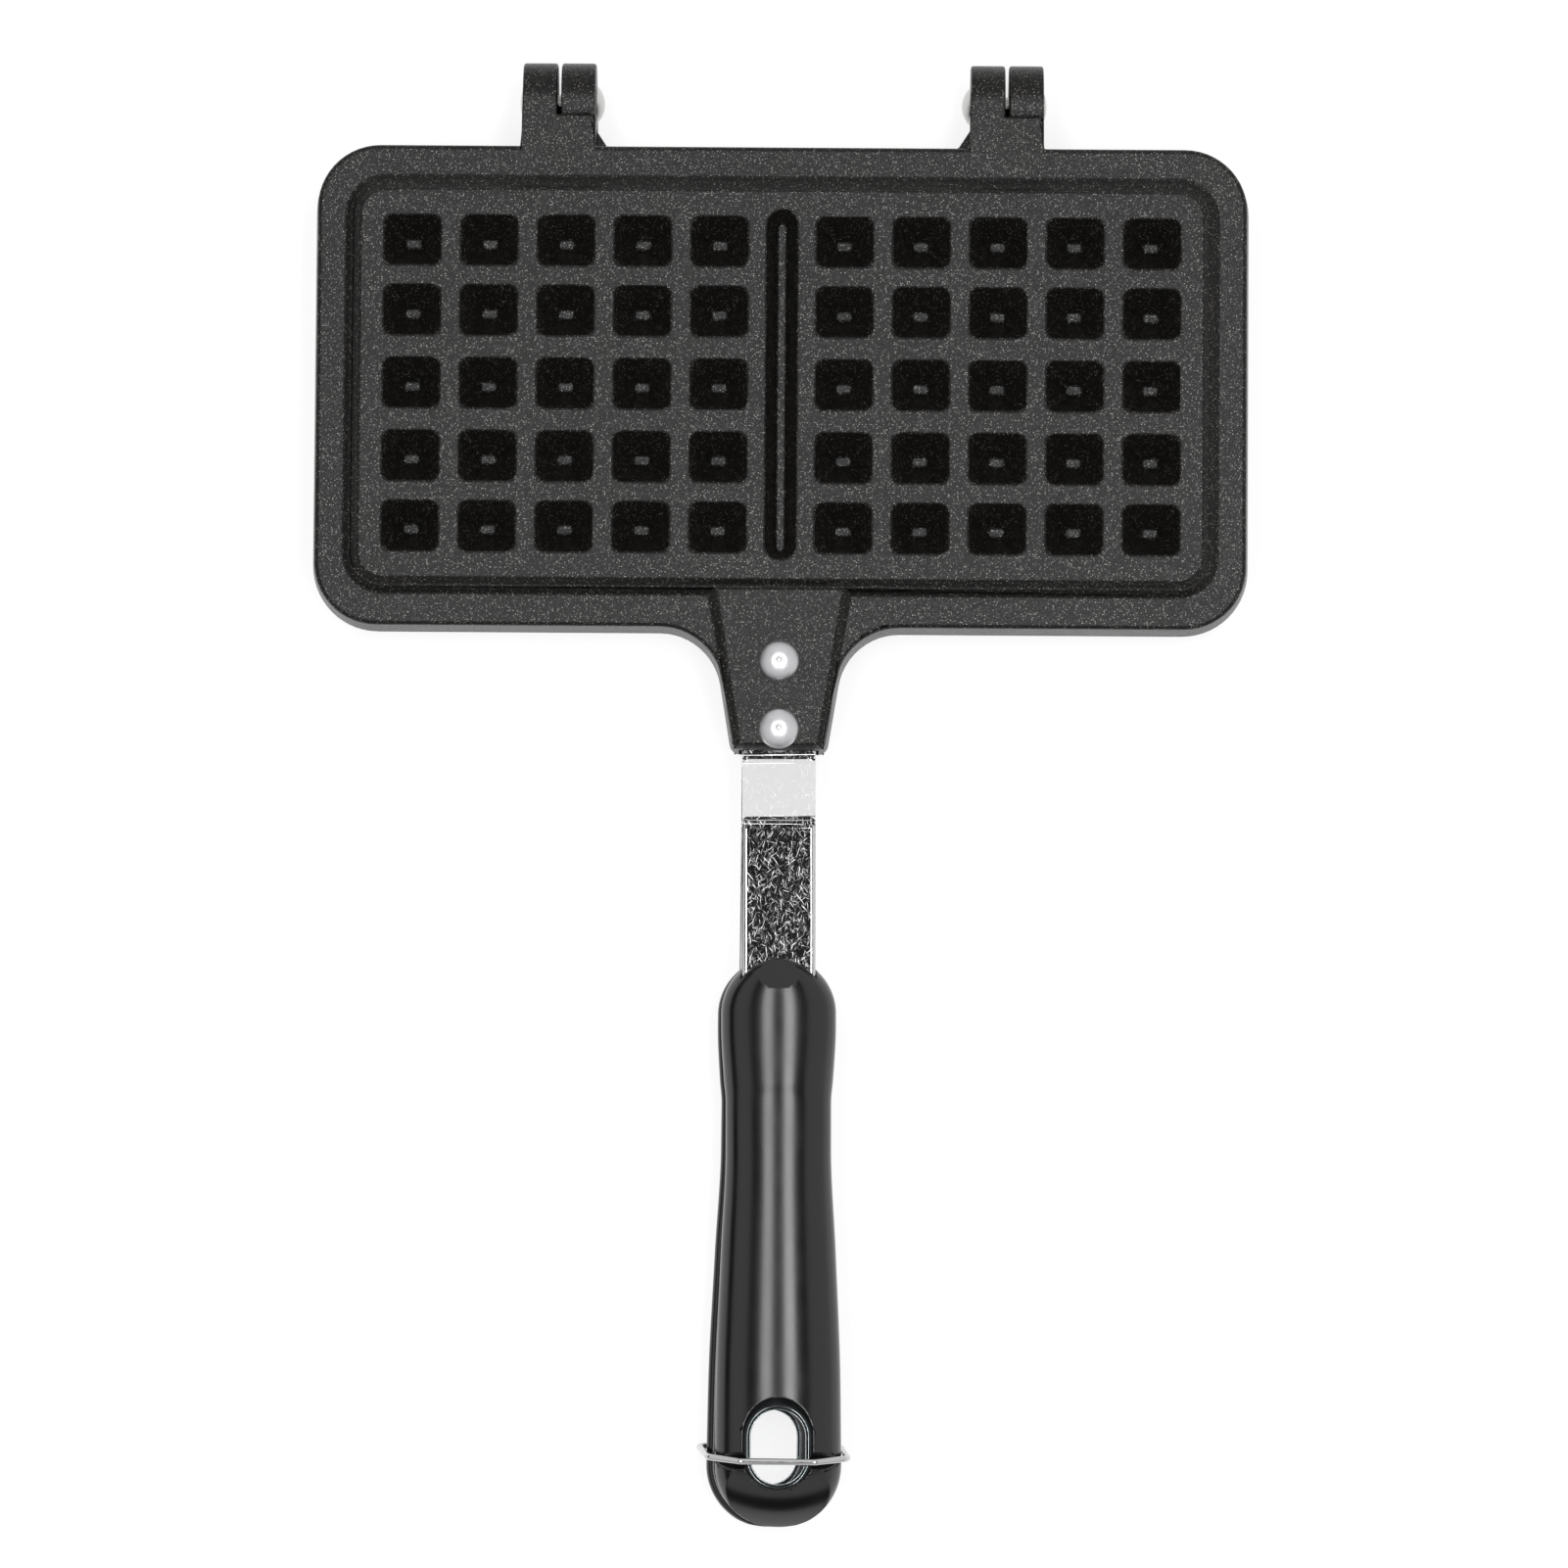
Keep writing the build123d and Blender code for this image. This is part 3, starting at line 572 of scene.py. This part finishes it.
def strap_material(metal):
    """Stainless steel, stamped from bright sheet.

    It gives the eye a dark mirror under a net of fine handling scratches, which catch the lamps.
    """
    material = blank_material("Stamped Stainless Steel")
    place = add_node(material, "ShaderNodeTexCoord").outputs["Object"]
    scratches = None
    # Five sets of scratches, each a noise drawn out along its slant to fourteen times its width. The
    # real ones are finer and would not show. A set has its slant in degrees and the level of the noise
    # at which a scratch starts.
    long = 14 * metal.scratch_pitch
    fade = 0.13
    for slant, start in ((38, 0.612), (-52, 0.622), (6, 0.612), (-20, 0.622), (74, 0.64)):
        turned = add_node(
            material, "ShaderNodeMapping",
            {
                "Vector": place,
                "Location": (slant * MM, 0, 0),
                "Rotation": (0, 0, math.radians(slant)),
                "Scale": (metal.scratch_pitch, long, long),
            },
            vector_type="TEXTURE",
        ).outputs["Vector"]
        noise = add_node(
            material, "ShaderNodeTexNoise",
            {"Vector": turned, "Scale": 1.0, "Detail": 2.0, "Roughness": 0.6},
        ).outputs["Fac"]
        lines = add_node(
            material, "ShaderNodeMapRange",
            {"Value": noise, "From Min": start, "From Max": start + fade},
        ).outputs["Result"]
        if scratches is None:
            scratches = lines
        else:
            scratches = add_node(
                material, "ShaderNodeMath", {0: scratches, 1: lines}, operation="MAXIMUM"
            ).outputs["Value"]
    roughness = add_node(
        material, "ShaderNodeMapRange", {"Value": scratches, "To Min": 0.07, "To Max": 0.36}
    ).outputs["Result"]
    steel = add_node(
        material, "ShaderNodeBsdfPrincipled",
        {"Base Color": rgba(metal.steel), "Metallic": 1.0, "Roughness": roughness},
    )
    return give_surface(material, steel)


class WAFFLE_PAN_OT_castings(bpy.types.Operator):
    """Rounds the edges of both castings and coats them"""

    bl_idname = "waffle_pan.castings"
    bl_label = "Castings"

    def execute(self, context):
        casting = context.scene.waffle_pan_casting
        material = coating_material(casting)
        for half, body in HALVES.items():
            node = f"{half}_plate"
            piece = from_cad(node)
            round_edges(piece, casting.edge, segments=2, least_angle=math.radians(30))
            # Rounding moves no corner by more than this share of its width, unless it goes wrong there
            pull_in(piece, node, casting.edge * 0.7)
            finish_piece(piece, node, body, material)
        return {"FINISHED"}


def round_bends(piece, width):
    """Eases the shallow bends that run across a strap, and leaves its corners and its ends alone."""
    bpy.ops.object.mode_set(mode="EDIT")
    bpy.ops.mesh.select_all(action="DESELECT")
    bpy.ops.mesh.select_mode(type="EDGE")
    form = bmesh.from_edit_mesh(piece.data)
    for edge in form.edges:
        run = edge.verts[1].co - edge.verts[0].co
        across = abs(run.x) > 0.99 * run.length
        edge.select = across and 3 < math.degrees(edge.calc_face_angle(0)) < 30
    bmesh.update_edit_mesh(piece.data)
    bpy.ops.mesh.bevel(offset=width, segments=4, affect="EDGES")
    bpy.ops.mesh.select_mode(type="VERT")
    bpy.ops.object.mode_set(mode="OBJECT")


class WAFFLE_PAN_OT_straps(bpy.types.Operator):
    """Tumbles the edges of both straps"""

    bl_idname = "waffle_pan.straps"
    bl_label = "Straps"

    def execute(self, context):
        metal = context.scene.waffle_pan_metal
        material = strap_material(metal)
        for half, body in HALVES.items():
            node = f"{half}_strap"
            piece = from_cad(node)
            round_bends(piece, metal.bend)
            round_edges(piece, metal.strap_edge, segments=8, least_angle=math.radians(40))
            finish_piece(piece, node, body, material)
        return {"FINISHED"}


def rivet_form():
    """A rivet standing on its head's seat, drawn from its set head up to its nib."""
    low, high = (corner.z - PARTING_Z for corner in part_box("upper_front_rivet"))
    seat = high - RIVET_HEAD_HEIGHT
    tail = low - seat
    dome = RIVET_HEAD_HEIGHT - RIVET_HEAD_EDGE
    ball = (RIVET_HEAD_RADIUS**2 + dome**2) / (2 * dome)
    profile = [
        (RIVET_TAIL_RADIUS - RIVET_TAIL_HEIGHT / 2, tail),
        (RIVET_TAIL_RADIUS, tail + RIVET_TAIL_HEIGHT / 2),
        (RIVET_TAIL_RADIUS, tail + RIVET_TAIL_HEIGHT),
        (RIVET_RADIUS, tail + RIVET_TAIL_HEIGHT),
        (RIVET_RADIUS, 0),
        (RIVET_HEAD_RADIUS - RIVET_HEAD_EDGE / 2, 0),
        (RIVET_HEAD_RADIUS, RIVET_HEAD_EDGE / 2),
        (RIVET_HEAD_RADIUS, RIVET_HEAD_EDGE),
    ]
    rings = int((RIVET_HEAD_RADIUS - NIB_RADIUS) / TURNED_RING)
    for ring in range(1, rings + 1):
        radius = RIVET_HEAD_RADIUS - ring * TURNED_RING
        ripple = TURNED_DEPTH * (-1) ** ring / 2
        dome_height = math.sqrt(ball**2 - radius**2) - ball + RIVET_HEAD_HEIGHT
        profile.append((radius, dome_height - TURNED_DEPTH + ripple))
    # The nib: the groove round it, its shoulder and its crest
    profile.append((NIB_RADIUS * 0.8, RIVET_HEAD_HEIGHT - 4 * TURNED_DEPTH))
    profile.append((NIB_RADIUS * 0.5, RIVET_HEAD_HEIGHT - TURNED_DEPTH))
    profile.append((NIB_RADIUS * 0.15, RIVET_HEAD_HEIGHT))
    form = turned_form(profile, vertices=96)
    form.data.transform(Matrix.Translation((0, 0, seat)))
    return form


class WAFFLE_PAN_OT_rivets(bpy.types.Operator):
    """Makes the four rivets with their turned heads"""

    bl_idname = "waffle_pan.rivets"
    bl_label = "Rivets"

    def execute(self, context):
        metal = context.scene.waffle_pan_metal
        # Bare aluminium turned on a lathe, which gives the eye pale satin rings
        material = metal_material("Turned Aluminium", metal.rivet, (0.36, 0.44), 2 * MM)
        master = rivet_form()
        for half, body in HALVES.items():
            for place, y in (("front", FRONT_RIVET_Y), ("rear", REAR_RIVET_Y)):
                node = f"{half}_{place}_rivet"
                along = Matrix.Translation((0, y, 0))
                where = half_place(half) @ along
                piece = placed_copy(master, f"{node}_finished", where)
                finish_piece(piece, node, body, material, smooth=TURNED_CREASE)
        bpy.data.objects.remove(master)
        return {"FINISHED"}


def dome_rings(radius, base, height, steps=7):
    """Rings up a dome of a radius and a height that stands on a base height."""
    ball = (radius**2 + height**2) / (2 * height)
    edge = math.asin(radius / ball)
    rings = []
    for step in range(steps + 1):
        # The last ring stops just short of the top, as a small flat
        angle = edge * (1 - step / (steps + 0.3))
        rings.append((ball * math.sin(angle), base + height - ball * (1 - math.cos(angle))))
    return rings


class WAFFLE_PAN_OT_hinge_pins(bpy.types.Operator):
    """Makes the two hinge pins, with their heads inboard and their riveted tails outboard"""

    bl_idname = "waffle_pan.hinge_pins"
    bl_label = "Hinge pins"

    def execute(self, context):
        metal = context.scene.waffle_pan_metal
        # Zinc-plated steel, which gives the eye a smooth grey that is a little dull
        material = metal_material("Plated Steel", metal.pin, (0.22, 0.34), 2 * MM)
        low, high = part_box("right_hinge_pin")
        shank = high.x - low.x - PIN_HEAD_HEIGHT - PIN_TAIL_HEIGHT
        dome = reversed(dome_rings(PIN_HEAD_RADIUS, 0, PIN_HEAD_HEIGHT))
        head = [(radius, -height) for radius, height in dome]
        tail = dome_rings(PIN_TAIL_RADIUS, shank, PIN_TAIL_HEIGHT)
        master = turned_form([*head, (PIN_RADIUS, 0), (PIN_RADIUS, shank), *tail], vertices=72)
        seat = Matrix.Translation((low.x + PIN_HEAD_HEIGHT, (low.y + high.y) / 2, PARTING_Z))
        along_x = seat @ Matrix.Rotation(math.pi / 2, 4, "Y")
        for side, turn in (("right", 0), ("left", math.pi)):
            node = f"{side}_hinge_pin"
            piece = placed_copy(master, f"{node}_finished", turned_over(turn) @ along_x)
            finish_piece(piece, node, "lower_half", material)
        bpy.data.objects.remove(master)
        return {"FINISHED"}


def section_points(half, thickness):
    """Points round the grip's section: flat floor, short sides and an elliptical crown."""
    crown_steps = 24
    right = [(half, GRIP_FLOOR)]
    for step in range(crown_steps + 1):
        angle = math.radians(90 * step / crown_steps)
        crown = (thickness - GRIP_SIDE) * math.sin(angle)
        right.append((half * math.cos(angle), GRIP_FLOOR + GRIP_SIDE + crown))
    left = [(-x, z) for x, z in reversed(right[:-1])]
    return right + left


def grip_rings():
    """Rings along the grip: each one's place, half width and crown height above the shoulder."""
    # The quarter rounds stop a little short of the tips, so that their last rings have a width
    quarter_rings = 22
    tip_angle = math.radians(87.5)
    quarter = [tip_angle * (1 - step / quarter_rings) for step in range(quarter_rings)]
    nose_y = NOSE_TIP_Y - NOSE_HALF
    nose_crown = GRIP_STATIONS[0][2] - GRIP_SIDE
    end_crown = GRIP_STATIONS[-1][2] - GRIP_SIDE
    body_length = GRIP_STATIONS[-1][0]
    rings = []
    for angle in quarter:
        # The nose is blunter in height than in plan
        blunt = (1 - math.sin(angle) ** NOSE_BLUNTNESS) ** (1 / NOSE_BLUNTNESS)
        y = nose_y + NOSE_HALF * math.sin(angle)
        rings.append((y, NOSE_HALF * math.cos(angle), nose_crown * blunt))
    body_rings = 90
    for ring in range(body_rings):
        place = body_length * ring / body_rings
        half = smooth_between(GRIP_STATIONS, place, 1)
        crown = smooth_between(GRIP_STATIONS, place, 2) - GRIP_SIDE
        rings.append((nose_y - place, half, crown))
    end_y = nose_y - body_length
    rings.append((end_y, END_HALF, end_crown))
    for angle in reversed(quarter):
        y = end_y - END_HALF * math.sin(angle)
        rings.append((y, END_HALF * math.cos(angle), end_crown * math.cos(angle)))
    return rings


def grip_blank():
    """The grip before anything is cut in it: its section, drawn out ring by ring."""
    rings = grip_rings()
    y, half, crown = rings[0]
    points = section_points(NOSE_HALF, GRIP_STATIONS[0][2])
    nose_crown = GRIP_STATIONS[0][2] - GRIP_SIDE
    shoulder = GRIP_FLOOR + GRIP_SIDE
    bpy.ops.object.select_all(action="DESELECT")
    bpy.ops.mesh.primitive_circle_add(vertices=len(points), radius=NOSE_HALF, fill_type="NGON")
    piece = bpy.context.object
    mesh = piece.data
    for vertex, (x, z) in zip(mesh.vertices, points):
        height = min(z, shoulder) + max(z - shoulder, 0) * crown / nose_crown
        vertex.co = (x * half / NOSE_HALF, y, height)
    for next_y, next_half, next_crown in rings[1:]:
        bpy.ops.object.mode_set(mode="EDIT")
        bpy.ops.mesh.extrude_region_move(TRANSFORM_OT_translate={"value": (0, next_y - y, 0)})
        bpy.ops.transform.resize(value=(next_half / half, 1, 1), center_override=(0, 0, 0))
        bpy.ops.object.mode_set(mode="OBJECT")
        for vertex in mesh.vertices:
            if vertex.select and vertex.co.z > shoulder:
                vertex.co.z = shoulder + (vertex.co.z - shoulder) * next_crown / crown
        y, half, crown = next_y, next_half, next_crown
    close_form()

    # Round the floor's outline
    bpy.ops.object.mode_set(mode="EDIT")
    bpy.ops.mesh.select_mode(type="FACE")
    bpy.ops.mesh.select_all(action="DESELECT")
    bpy.ops.object.mode_set(mode="OBJECT")
    for face in mesh.polygons:
        face.select = face.normal.z < -0.99
    bpy.ops.object.mode_set(mode="EDIT")
    bpy.ops.mesh.dissolve_faces()
    bpy.ops.mesh.region_to_loop()
    bpy.ops.mesh.bevel(offset=GRIP_EDGE, segments=4, affect="EDGES")
    bpy.ops.mesh.select_mode(type="VERT")
    bpy.ops.object.mode_set(mode="OBJECT")
    return piece


def facet_block():
    """A block whose tilted floor slices a flat facet off the grip's nose, over the strap."""
    wedge = block((-NOSE_HALF * 2, -NOSE_HALF, 0), (NOSE_HALF * 2, NOSE_HALF, NOSE_HALF))
    place = Matrix.Translation((0, NOSE_TIP_Y - FACET_START, FACET_HEIGHT))
    wedge.data.transform(place @ Matrix.Rotation(-FACET_ANGLE, 4, "X"))
    return wedge


def hole_plug(middle_y):
    """An oval plug with a flared top, for the hanging hole and the recess round it."""
    spread = RECESS_HEIGHT * math.tan(RECESS_SLOPE)
    wide = (HOLE_WIDTH + 2 * spread) / HOLE_WIDTH
    long = (HOLE_LENGTH + 2 * spread) / HOLE_LENGTH
    bpy.ops.object.select_all(action="DESELECT")
    # With this count no point lies on the middle line, so the circle parts into two half rounds
    bpy.ops.mesh.primitive_circle_add(vertices=62, radius=HOLE_WIDTH / 2, fill_type="NGON")
    for vertex in bpy.context.object.data.vertices:
        vertex.co.y += math.copysign((HOLE_LENGTH - HOLE_WIDTH) / 2, vertex.co.y)
    bpy.ops.object.mode_set(mode="EDIT")
    bpy.ops.transform.translate(value=(0, middle_y, 0))
    bpy.ops.mesh.extrude_region_move(TRANSFORM_OT_translate={"value": (0, 0, RECESS_FLOOR)})
    bpy.ops.mesh.extrude_region_move(TRANSFORM_OT_translate={"value": (0, 0, RECESS_HEIGHT)})
    bpy.ops.transform.resize(value=(wide, long, 1), center_override=(0, middle_y, 0))
    bpy.ops.object.mode_set(mode="OBJECT")
    return close_form()


def groove_ring(bar_y):
    """A hoop with a sharp inner edge, which cuts the groove for the clip's bar across the crown."""
    spread = GROOVE_REACH * math.tan(GROOVE_HALF_ANGLE)
    outer = GROOVE_RADIUS + GROOVE_REACH
    back = outer + GROOVE_REACH
    profile = [(outer, -spread), (GROOVE_RADIUS, 0), (outer, spread), (back, spread), (back, -spread)]
    hoop = turned_form([*profile, profile[0]], vertices=240, hollow=True)
    place = Matrix.Translation((0, bar_y, GROOVE_FLOOR - GROOVE_RADIUS))
    hoop.data.transform(place @ Matrix.Rotation(math.pi / 2, 4, "X"))
    return hoop


def end_trimmer(bar_y, pivot_y):
    """What the clip of the other grip sweeps past the end: a block less the barrel that it leaves."""
    steps = 16
    ball = (BARREL_HALF**2 + BARREL_DROP**2) / (2 * BARREL_DROP)
    profile = []
    for step in range(-steps, steps + 1):
        x = BARREL_HALF * step / steps
        profile.append((BARREL_RADIUS - ball + math.sqrt(ball**2 - x**2), x))
    barrel = turned_form(profile, vertices=160)
    place = Matrix.Translation((0, pivot_y, -PIVOT_DROP))
    barrel.data.transform(place @ Matrix.Rotation(math.pi / 2, 4, "Y"))
    # A little narrower than the barrel, so that the barrel's flat ends stay clear of the cut
    wide = BARREL_HALF * 0.98
    trimmer = block((-wide, bar_y - HOLE_FROM_END, 0), (wide, bar_y, 2 * BARREL_RADIUS))
    cut(trimmer, barrel)
    return trimmer


def grip_form(grip):
    """The finished upper grip, drawn above the parting plane and not yet leaned."""
    hole_y = NOSE_TIP_Y - GRIP_LENGTH + HOLE_FROM_END
    bar_y = hole_y - BAR_FROM_HOLE
    piece = grip_blank()
    cut(piece, facet_block())
    tang_bottom = TANG_TOP - STRAP_THICKNESS
    for width, depth in ((STRAP_WIDTH, TANG_SHOULDER), (TANG_WIDTH, TANG_LENGTH)):
        half = width / 2 + SOCKET_GAP
        low = (-half, NOSE_TIP_Y - depth - SOCKET_GAP, tang_bottom - SOCKET_GAP)
        cut(piece, block(low, (half, NOSE_TIP_Y + NOSE_HALF, TANG_TOP + SOCKET_GAP)))
    counterbore = SCREW_HEAD_RADIUS + SOCKET_GAP
    depth = GRIP_FLOOR + SCREW_HEAD_SINK + SCREW_HEAD_HEIGHT
    for distance in SCREWS_FROM_TIP:
        drill = turned_form([(counterbore, 0), (counterbore, depth)])
        drill.data.transform(Matrix.Translation((0, NOSE_TIP_Y - distance, 0)))
        cut(piece, drill)
    cut(piece, hole_plug(hole_y))
    cut(piece, groove_ring(bar_y))
    cut(piece, end_trimmer(bar_y, hole_y))
    round_edges(piece, grip.edge, segments=2, least_angle=GRIP_CREASE)
    return piece


class WAFFLE_PAN_OT_grips(bpy.types.Operator):
    """Makes both moulded grips"""

    bl_idname = "waffle_pan.grips"
    bl_label = "Grips"

    def execute(self, context):
        grip = context.scene.waffle_pan_grip
        material = grip_material(grip)
        master = grip_form(grip)
        for half, body in HALVES.items():
            node = f"{half}_grip"
            piece = placed_copy(master, f"{node}_finished", half_place(half, leans=True))
            finish_piece(piece, node, body, material, smooth=GRIP_CREASE)
        bpy.data.objects.remove(master)
        return {"FINISHED"}


class WAFFLE_PAN_OT_screws(bpy.types.Operator):
    """Makes the four grip screws with their crossed recesses"""

    bl_idname = "waffle_pan.screws"
    bl_label = "Grip screws"

    def execute(self, context):
        metal = context.scene.waffle_pan_metal
        # Zinc-plated steel, cold-formed, which looks as the pins do
        material = metal_material("Plated Screw Steel", metal.pin, (0.22, 0.34), 2 * MM)
        low, high = (corner.z - PARTING_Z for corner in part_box("upper_front_screw"))
        shoulder = low + SCREW_HEAD_HEIGHT
        dome = reversed(dome_rings(SCREW_HEAD_RADIUS, 0, SCREW_HEAD_DOME))
        head = [(radius, low + SCREW_HEAD_DOME - height) for radius, height in dome]
        shank = [(SCREW_HEAD_RADIUS, shoulder), (SCREW_RADIUS, shoulder), (SCREW_RADIUS, high)]
        master = turned_form([*head, *shank], vertices=64)
        depth = low + SCREW_RECESS_DEPTH
        for x, y in ((SCREW_RECESS_ARM, SCREW_RECESS_HALF), (SCREW_RECESS_HALF, SCREW_RECESS_ARM)):
            cut(master, block((-x, -y, 0), (x, y, depth)))
        for half, body in HALVES.items():
            for place, distance in zip(("rear", "front"), SCREWS_FROM_TIP):
                node = f"{half}_{place}_screw"
                along = Matrix.Translation((0, NOSE_TIP_Y - distance, 0))
                where = half_place(half, leans=True) @ along
                piece = placed_copy(master, f"{node}_finished", where)
                finish_piece(piece, node, body, material)
        bpy.data.objects.remove(master)
        return {"FINISHED"}


class WAFFLE_PAN_OT_hanging_rings(bpy.types.Operator):
    """Makes the two liners of the hanging hole"""

    bl_idname = "waffle_pan.hanging_rings"
    bl_label = "Hanging rings"

    def execute(self, context):
        metal = context.scene.waffle_pan_metal
        # Steel drawn and left bright, which gives the eye a cool mirror, slightly uneven from the die
        material = metal_material("Drawn Liner Steel", metal.liner, (0.06, 0.12), 4 * MM)
        for half, body in HALVES.items():
            node = f"{half}_hanging_ring"
            piece = from_cad(node)
            round_edges(piece, LINER_EDGE, segments=3, least_angle=math.radians(40))
            finish_piece(piece, node, body, material)
        return {"FINISHED"}


class WAFFLE_PAN_OT_clip(bpy.types.Operator):
    """Makes the wire clip"""

    bl_idname = "waffle_pan.clip"
    bl_label = "Clip"

    def execute(self, context):
        metal = context.scene.waffle_pan_metal
        # Hard-drawn spring wire, which gives the eye a bright line with soft edges
        material = metal_material("Drawn Spring Wire", metal.wire, (0.12, 0.22), 3 * MM)
        finish_piece(from_cad("locking_clip"), "locking_clip", "clip", material)
        return {"FINISHED"}


def lamp(name, place, aim, size, power):
    """A rectangular lamp facing a point. Seen from above, its first size runs towards that point."""
    bpy.ops.object.light_add(type="AREA", location=place)
    light = bpy.context.object
    light.name = name
    light.rotation_euler = (Vector(aim) - Vector(place)).to_track_quat("-Z", "X").to_euler()
    light.data.shape = "RECTANGLE"
    light.data.size, light.data.size_y = size
    light.data.energy = power


def background_rays(material):
    """One for the rays that meet a pale background: the camera's, and those off metal and glass."""
    rays = add_node(material, "ShaderNodeLightPath")
    seen = add_node(
        material, "ShaderNodeMath",
        {0: rays.outputs["Is Camera Ray"], 1: rays.outputs["Is Glossy Ray"]},
        operation="MAXIMUM",
    ).outputs["Value"]
    return add_node(
        material, "ShaderNodeMath",
        {0: seen, 1: rays.outputs["Is Transmission Ray"]},
        operation="MAXIMUM",
    ).outputs["Value"]


def floor_material(studio):
    """Matt paper sweep, which is seen as white and still takes the pan's soft shadow."""
    material = blank_material("Paper Sweep")
    seen = background_rays(material)
    lift = add_node(
        material, "ShaderNodeMath", {0: seen, 1: PAPER_WHITE}, operation="MULTIPLY"
    ).outputs["Value"]
    paper = add_node(material, "ShaderNodeBsdfDiffuse", {"Color": rgba(studio.floor)})
    glow = add_node(material, "ShaderNodeEmission", {"Color": (1, 1, 1, 1), "Strength": lift})
    both = add_node(material, "ShaderNodeAddShader", {0: paper.outputs[0], 1: glow.outputs[0]})
    return give_surface(material, both)


def light_room(world):
    """A pale room, and a weaker fill of the same light on the object."""
    world.use_nodes = True
    world.node_tree.nodes.clear()
    seen = background_rays(world)
    shown = add_node(
        world, "ShaderNodeMix", {"Factor": seen, "A": ROOM_FILL, "B": ROOM_SEEN}
    ).outputs["Result"]
    room = add_node(world, "ShaderNodeBackground", {"Color": (1, 1, 1, 1), "Strength": shown})
    add_node(world, "ShaderNodeOutputWorld", {"Surface": room.outputs[0]})


def black_card(name, place, aim, size, material):
    """A black card for metal and coating to mirror. The camera and the lamps pass through it."""
    bpy.ops.object.select_all(action="DESELECT")
    bpy.ops.mesh.primitive_plane_add(size=1)
    card = bpy.context.object
    card.name = name
    turn = (Vector(aim) - Vector(place)).to_track_quat("Z", "X").to_matrix().to_4x4()
    card.data.transform(Matrix.Translation(place) @ turn @ Matrix.Diagonal((*size, 1, 1)))
    card.data.materials.append(material)
    card.visible_camera = False
    card.visible_diffuse = False
    card.visible_shadow = False


class WAFFLE_PAN_OT_studio(bpy.types.Operator):
    """Lays the floor, sets the lamps and places the camera above the pan"""

    bl_idname = "waffle_pan.studio"
    bl_label = "Studio"

    def execute(self, context):
        studio = context.scene.waffle_pan_studio
        bpy.ops.object.select_all(action="DESELECT")
        floor_z = cad_box[0].z
        bpy.ops.mesh.primitive_plane_add(size=studio.floor_size, location=(0, 0, floor_z))
        floor = context.object
        floor.name = "studio_floor"
        bpy.ops.object.transform_apply(location=True, rotation=False, scale=False)
        floor.data.materials.append(floor_material(studio))

        right = (STRIP_SIDE, STRIP_AIM[1], STRIP_HEIGHT)
        left = (-STRIP_SIDE, STRIP_AIM[1], STRIP_HEIGHT)
        lamp("right_strip", right, STRIP_AIM, STRIP_SIZE, studio.strip_power * RIGHT_STRIP_SHARE)
        lamp("left_strip", left, STRIP_AIM, STRIP_SIZE, studio.strip_power)
        lamp("hinge_side_lamp", HINGE_LAMP_PLACE, (0, 0, 0), HINGE_LAMP_SIZE, studio.top_power)

        black = blank_material("Black Card")
        give_surface(black, add_node(black, "ShaderNodeBsdfDiffuse", {"Color": rgba(studio.card)}))
        for name, (place, aim, size) in CARDS.items():
            black_card(name, place, aim, size, black)

        world = context.scene.world or bpy.data.worlds.new("Room")
        context.scene.world = world
        light_room(world)

        bpy.ops.object.camera_add(location=CAMERA_PLACE, rotation=CAMERA_TURN)
        camera = context.object
        camera.data.lens = studio.lens
        camera.data.sensor_width = SENSOR_WIDTH
        camera.data.clip_end = 100.0
        context.scene.camera = camera
        context.scene.view_settings.view_transform = "Standard"
        return {"FINISHED"}


PIECE_OPERATORS = (
    WAFFLE_PAN_OT_castings,
    WAFFLE_PAN_OT_straps,
    WAFFLE_PAN_OT_rivets,
    WAFFLE_PAN_OT_hinge_pins,
    WAFFLE_PAN_OT_grips,
    WAFFLE_PAN_OT_screws,
    WAFFLE_PAN_OT_hanging_rings,
    WAFFLE_PAN_OT_clip,
    WAFFLE_PAN_OT_studio,
)

PROPERTY_GROUPS = {
    "waffle_pan_casting": CastingProperties,
    "waffle_pan_metal": MetalProperties,
    "waffle_pan_grip": GripProperties,
    "waffle_pan_studio": StudioProperties,
}


class WAFFLE_PAN_PT_sidebar(bpy.types.Panel):
    """Lists the pan's pieces and their sizes and colours"""

    bl_idname = "WAFFLE_PAN_PT_sidebar"
    bl_label = "Waffle Pan"
    bl_space_type = "VIEW_3D"
    bl_region_type = "UI"
    bl_category = "Waffle Pan"

    def draw(self, context):
        for operator in PIECE_OPERATORS:
            self.layout.operator(operator.bl_idname)
        for name, group in PROPERTY_GROUPS.items():
            box = self.layout.box()
            for property_name in group.__annotations__:
                box.prop(getattr(context.scene, name), property_name)


def register():
    for name, group in PROPERTY_GROUPS.items():
        bpy.utils.register_class(group)
        setattr(bpy.types.Scene, name, bpy.props.PointerProperty(type=group))
    for kind in (*PIECE_OPERATORS, WAFFLE_PAN_PT_sidebar):
        bpy.utils.register_class(kind)


def unregister():
    for kind in reversed((*PIECE_OPERATORS, WAFFLE_PAN_PT_sidebar)):
        bpy.utils.unregister_class(kind)
    for name, group in PROPERTY_GROUPS.items():
        delattr(bpy.types.Scene, name)
        bpy.utils.unregister_class(group)


def main():
    register()
    bpy.ops.waffle_pan.castings()
    bpy.ops.waffle_pan.straps()
    bpy.ops.waffle_pan.rivets()
    bpy.ops.waffle_pan.hinge_pins()
    bpy.ops.waffle_pan.grips()
    bpy.ops.waffle_pan.screws()
    bpy.ops.waffle_pan.hanging_rings()
    bpy.ops.waffle_pan.clip()
    bpy.ops.waffle_pan.studio()


if __name__ == "__main__":
    main()
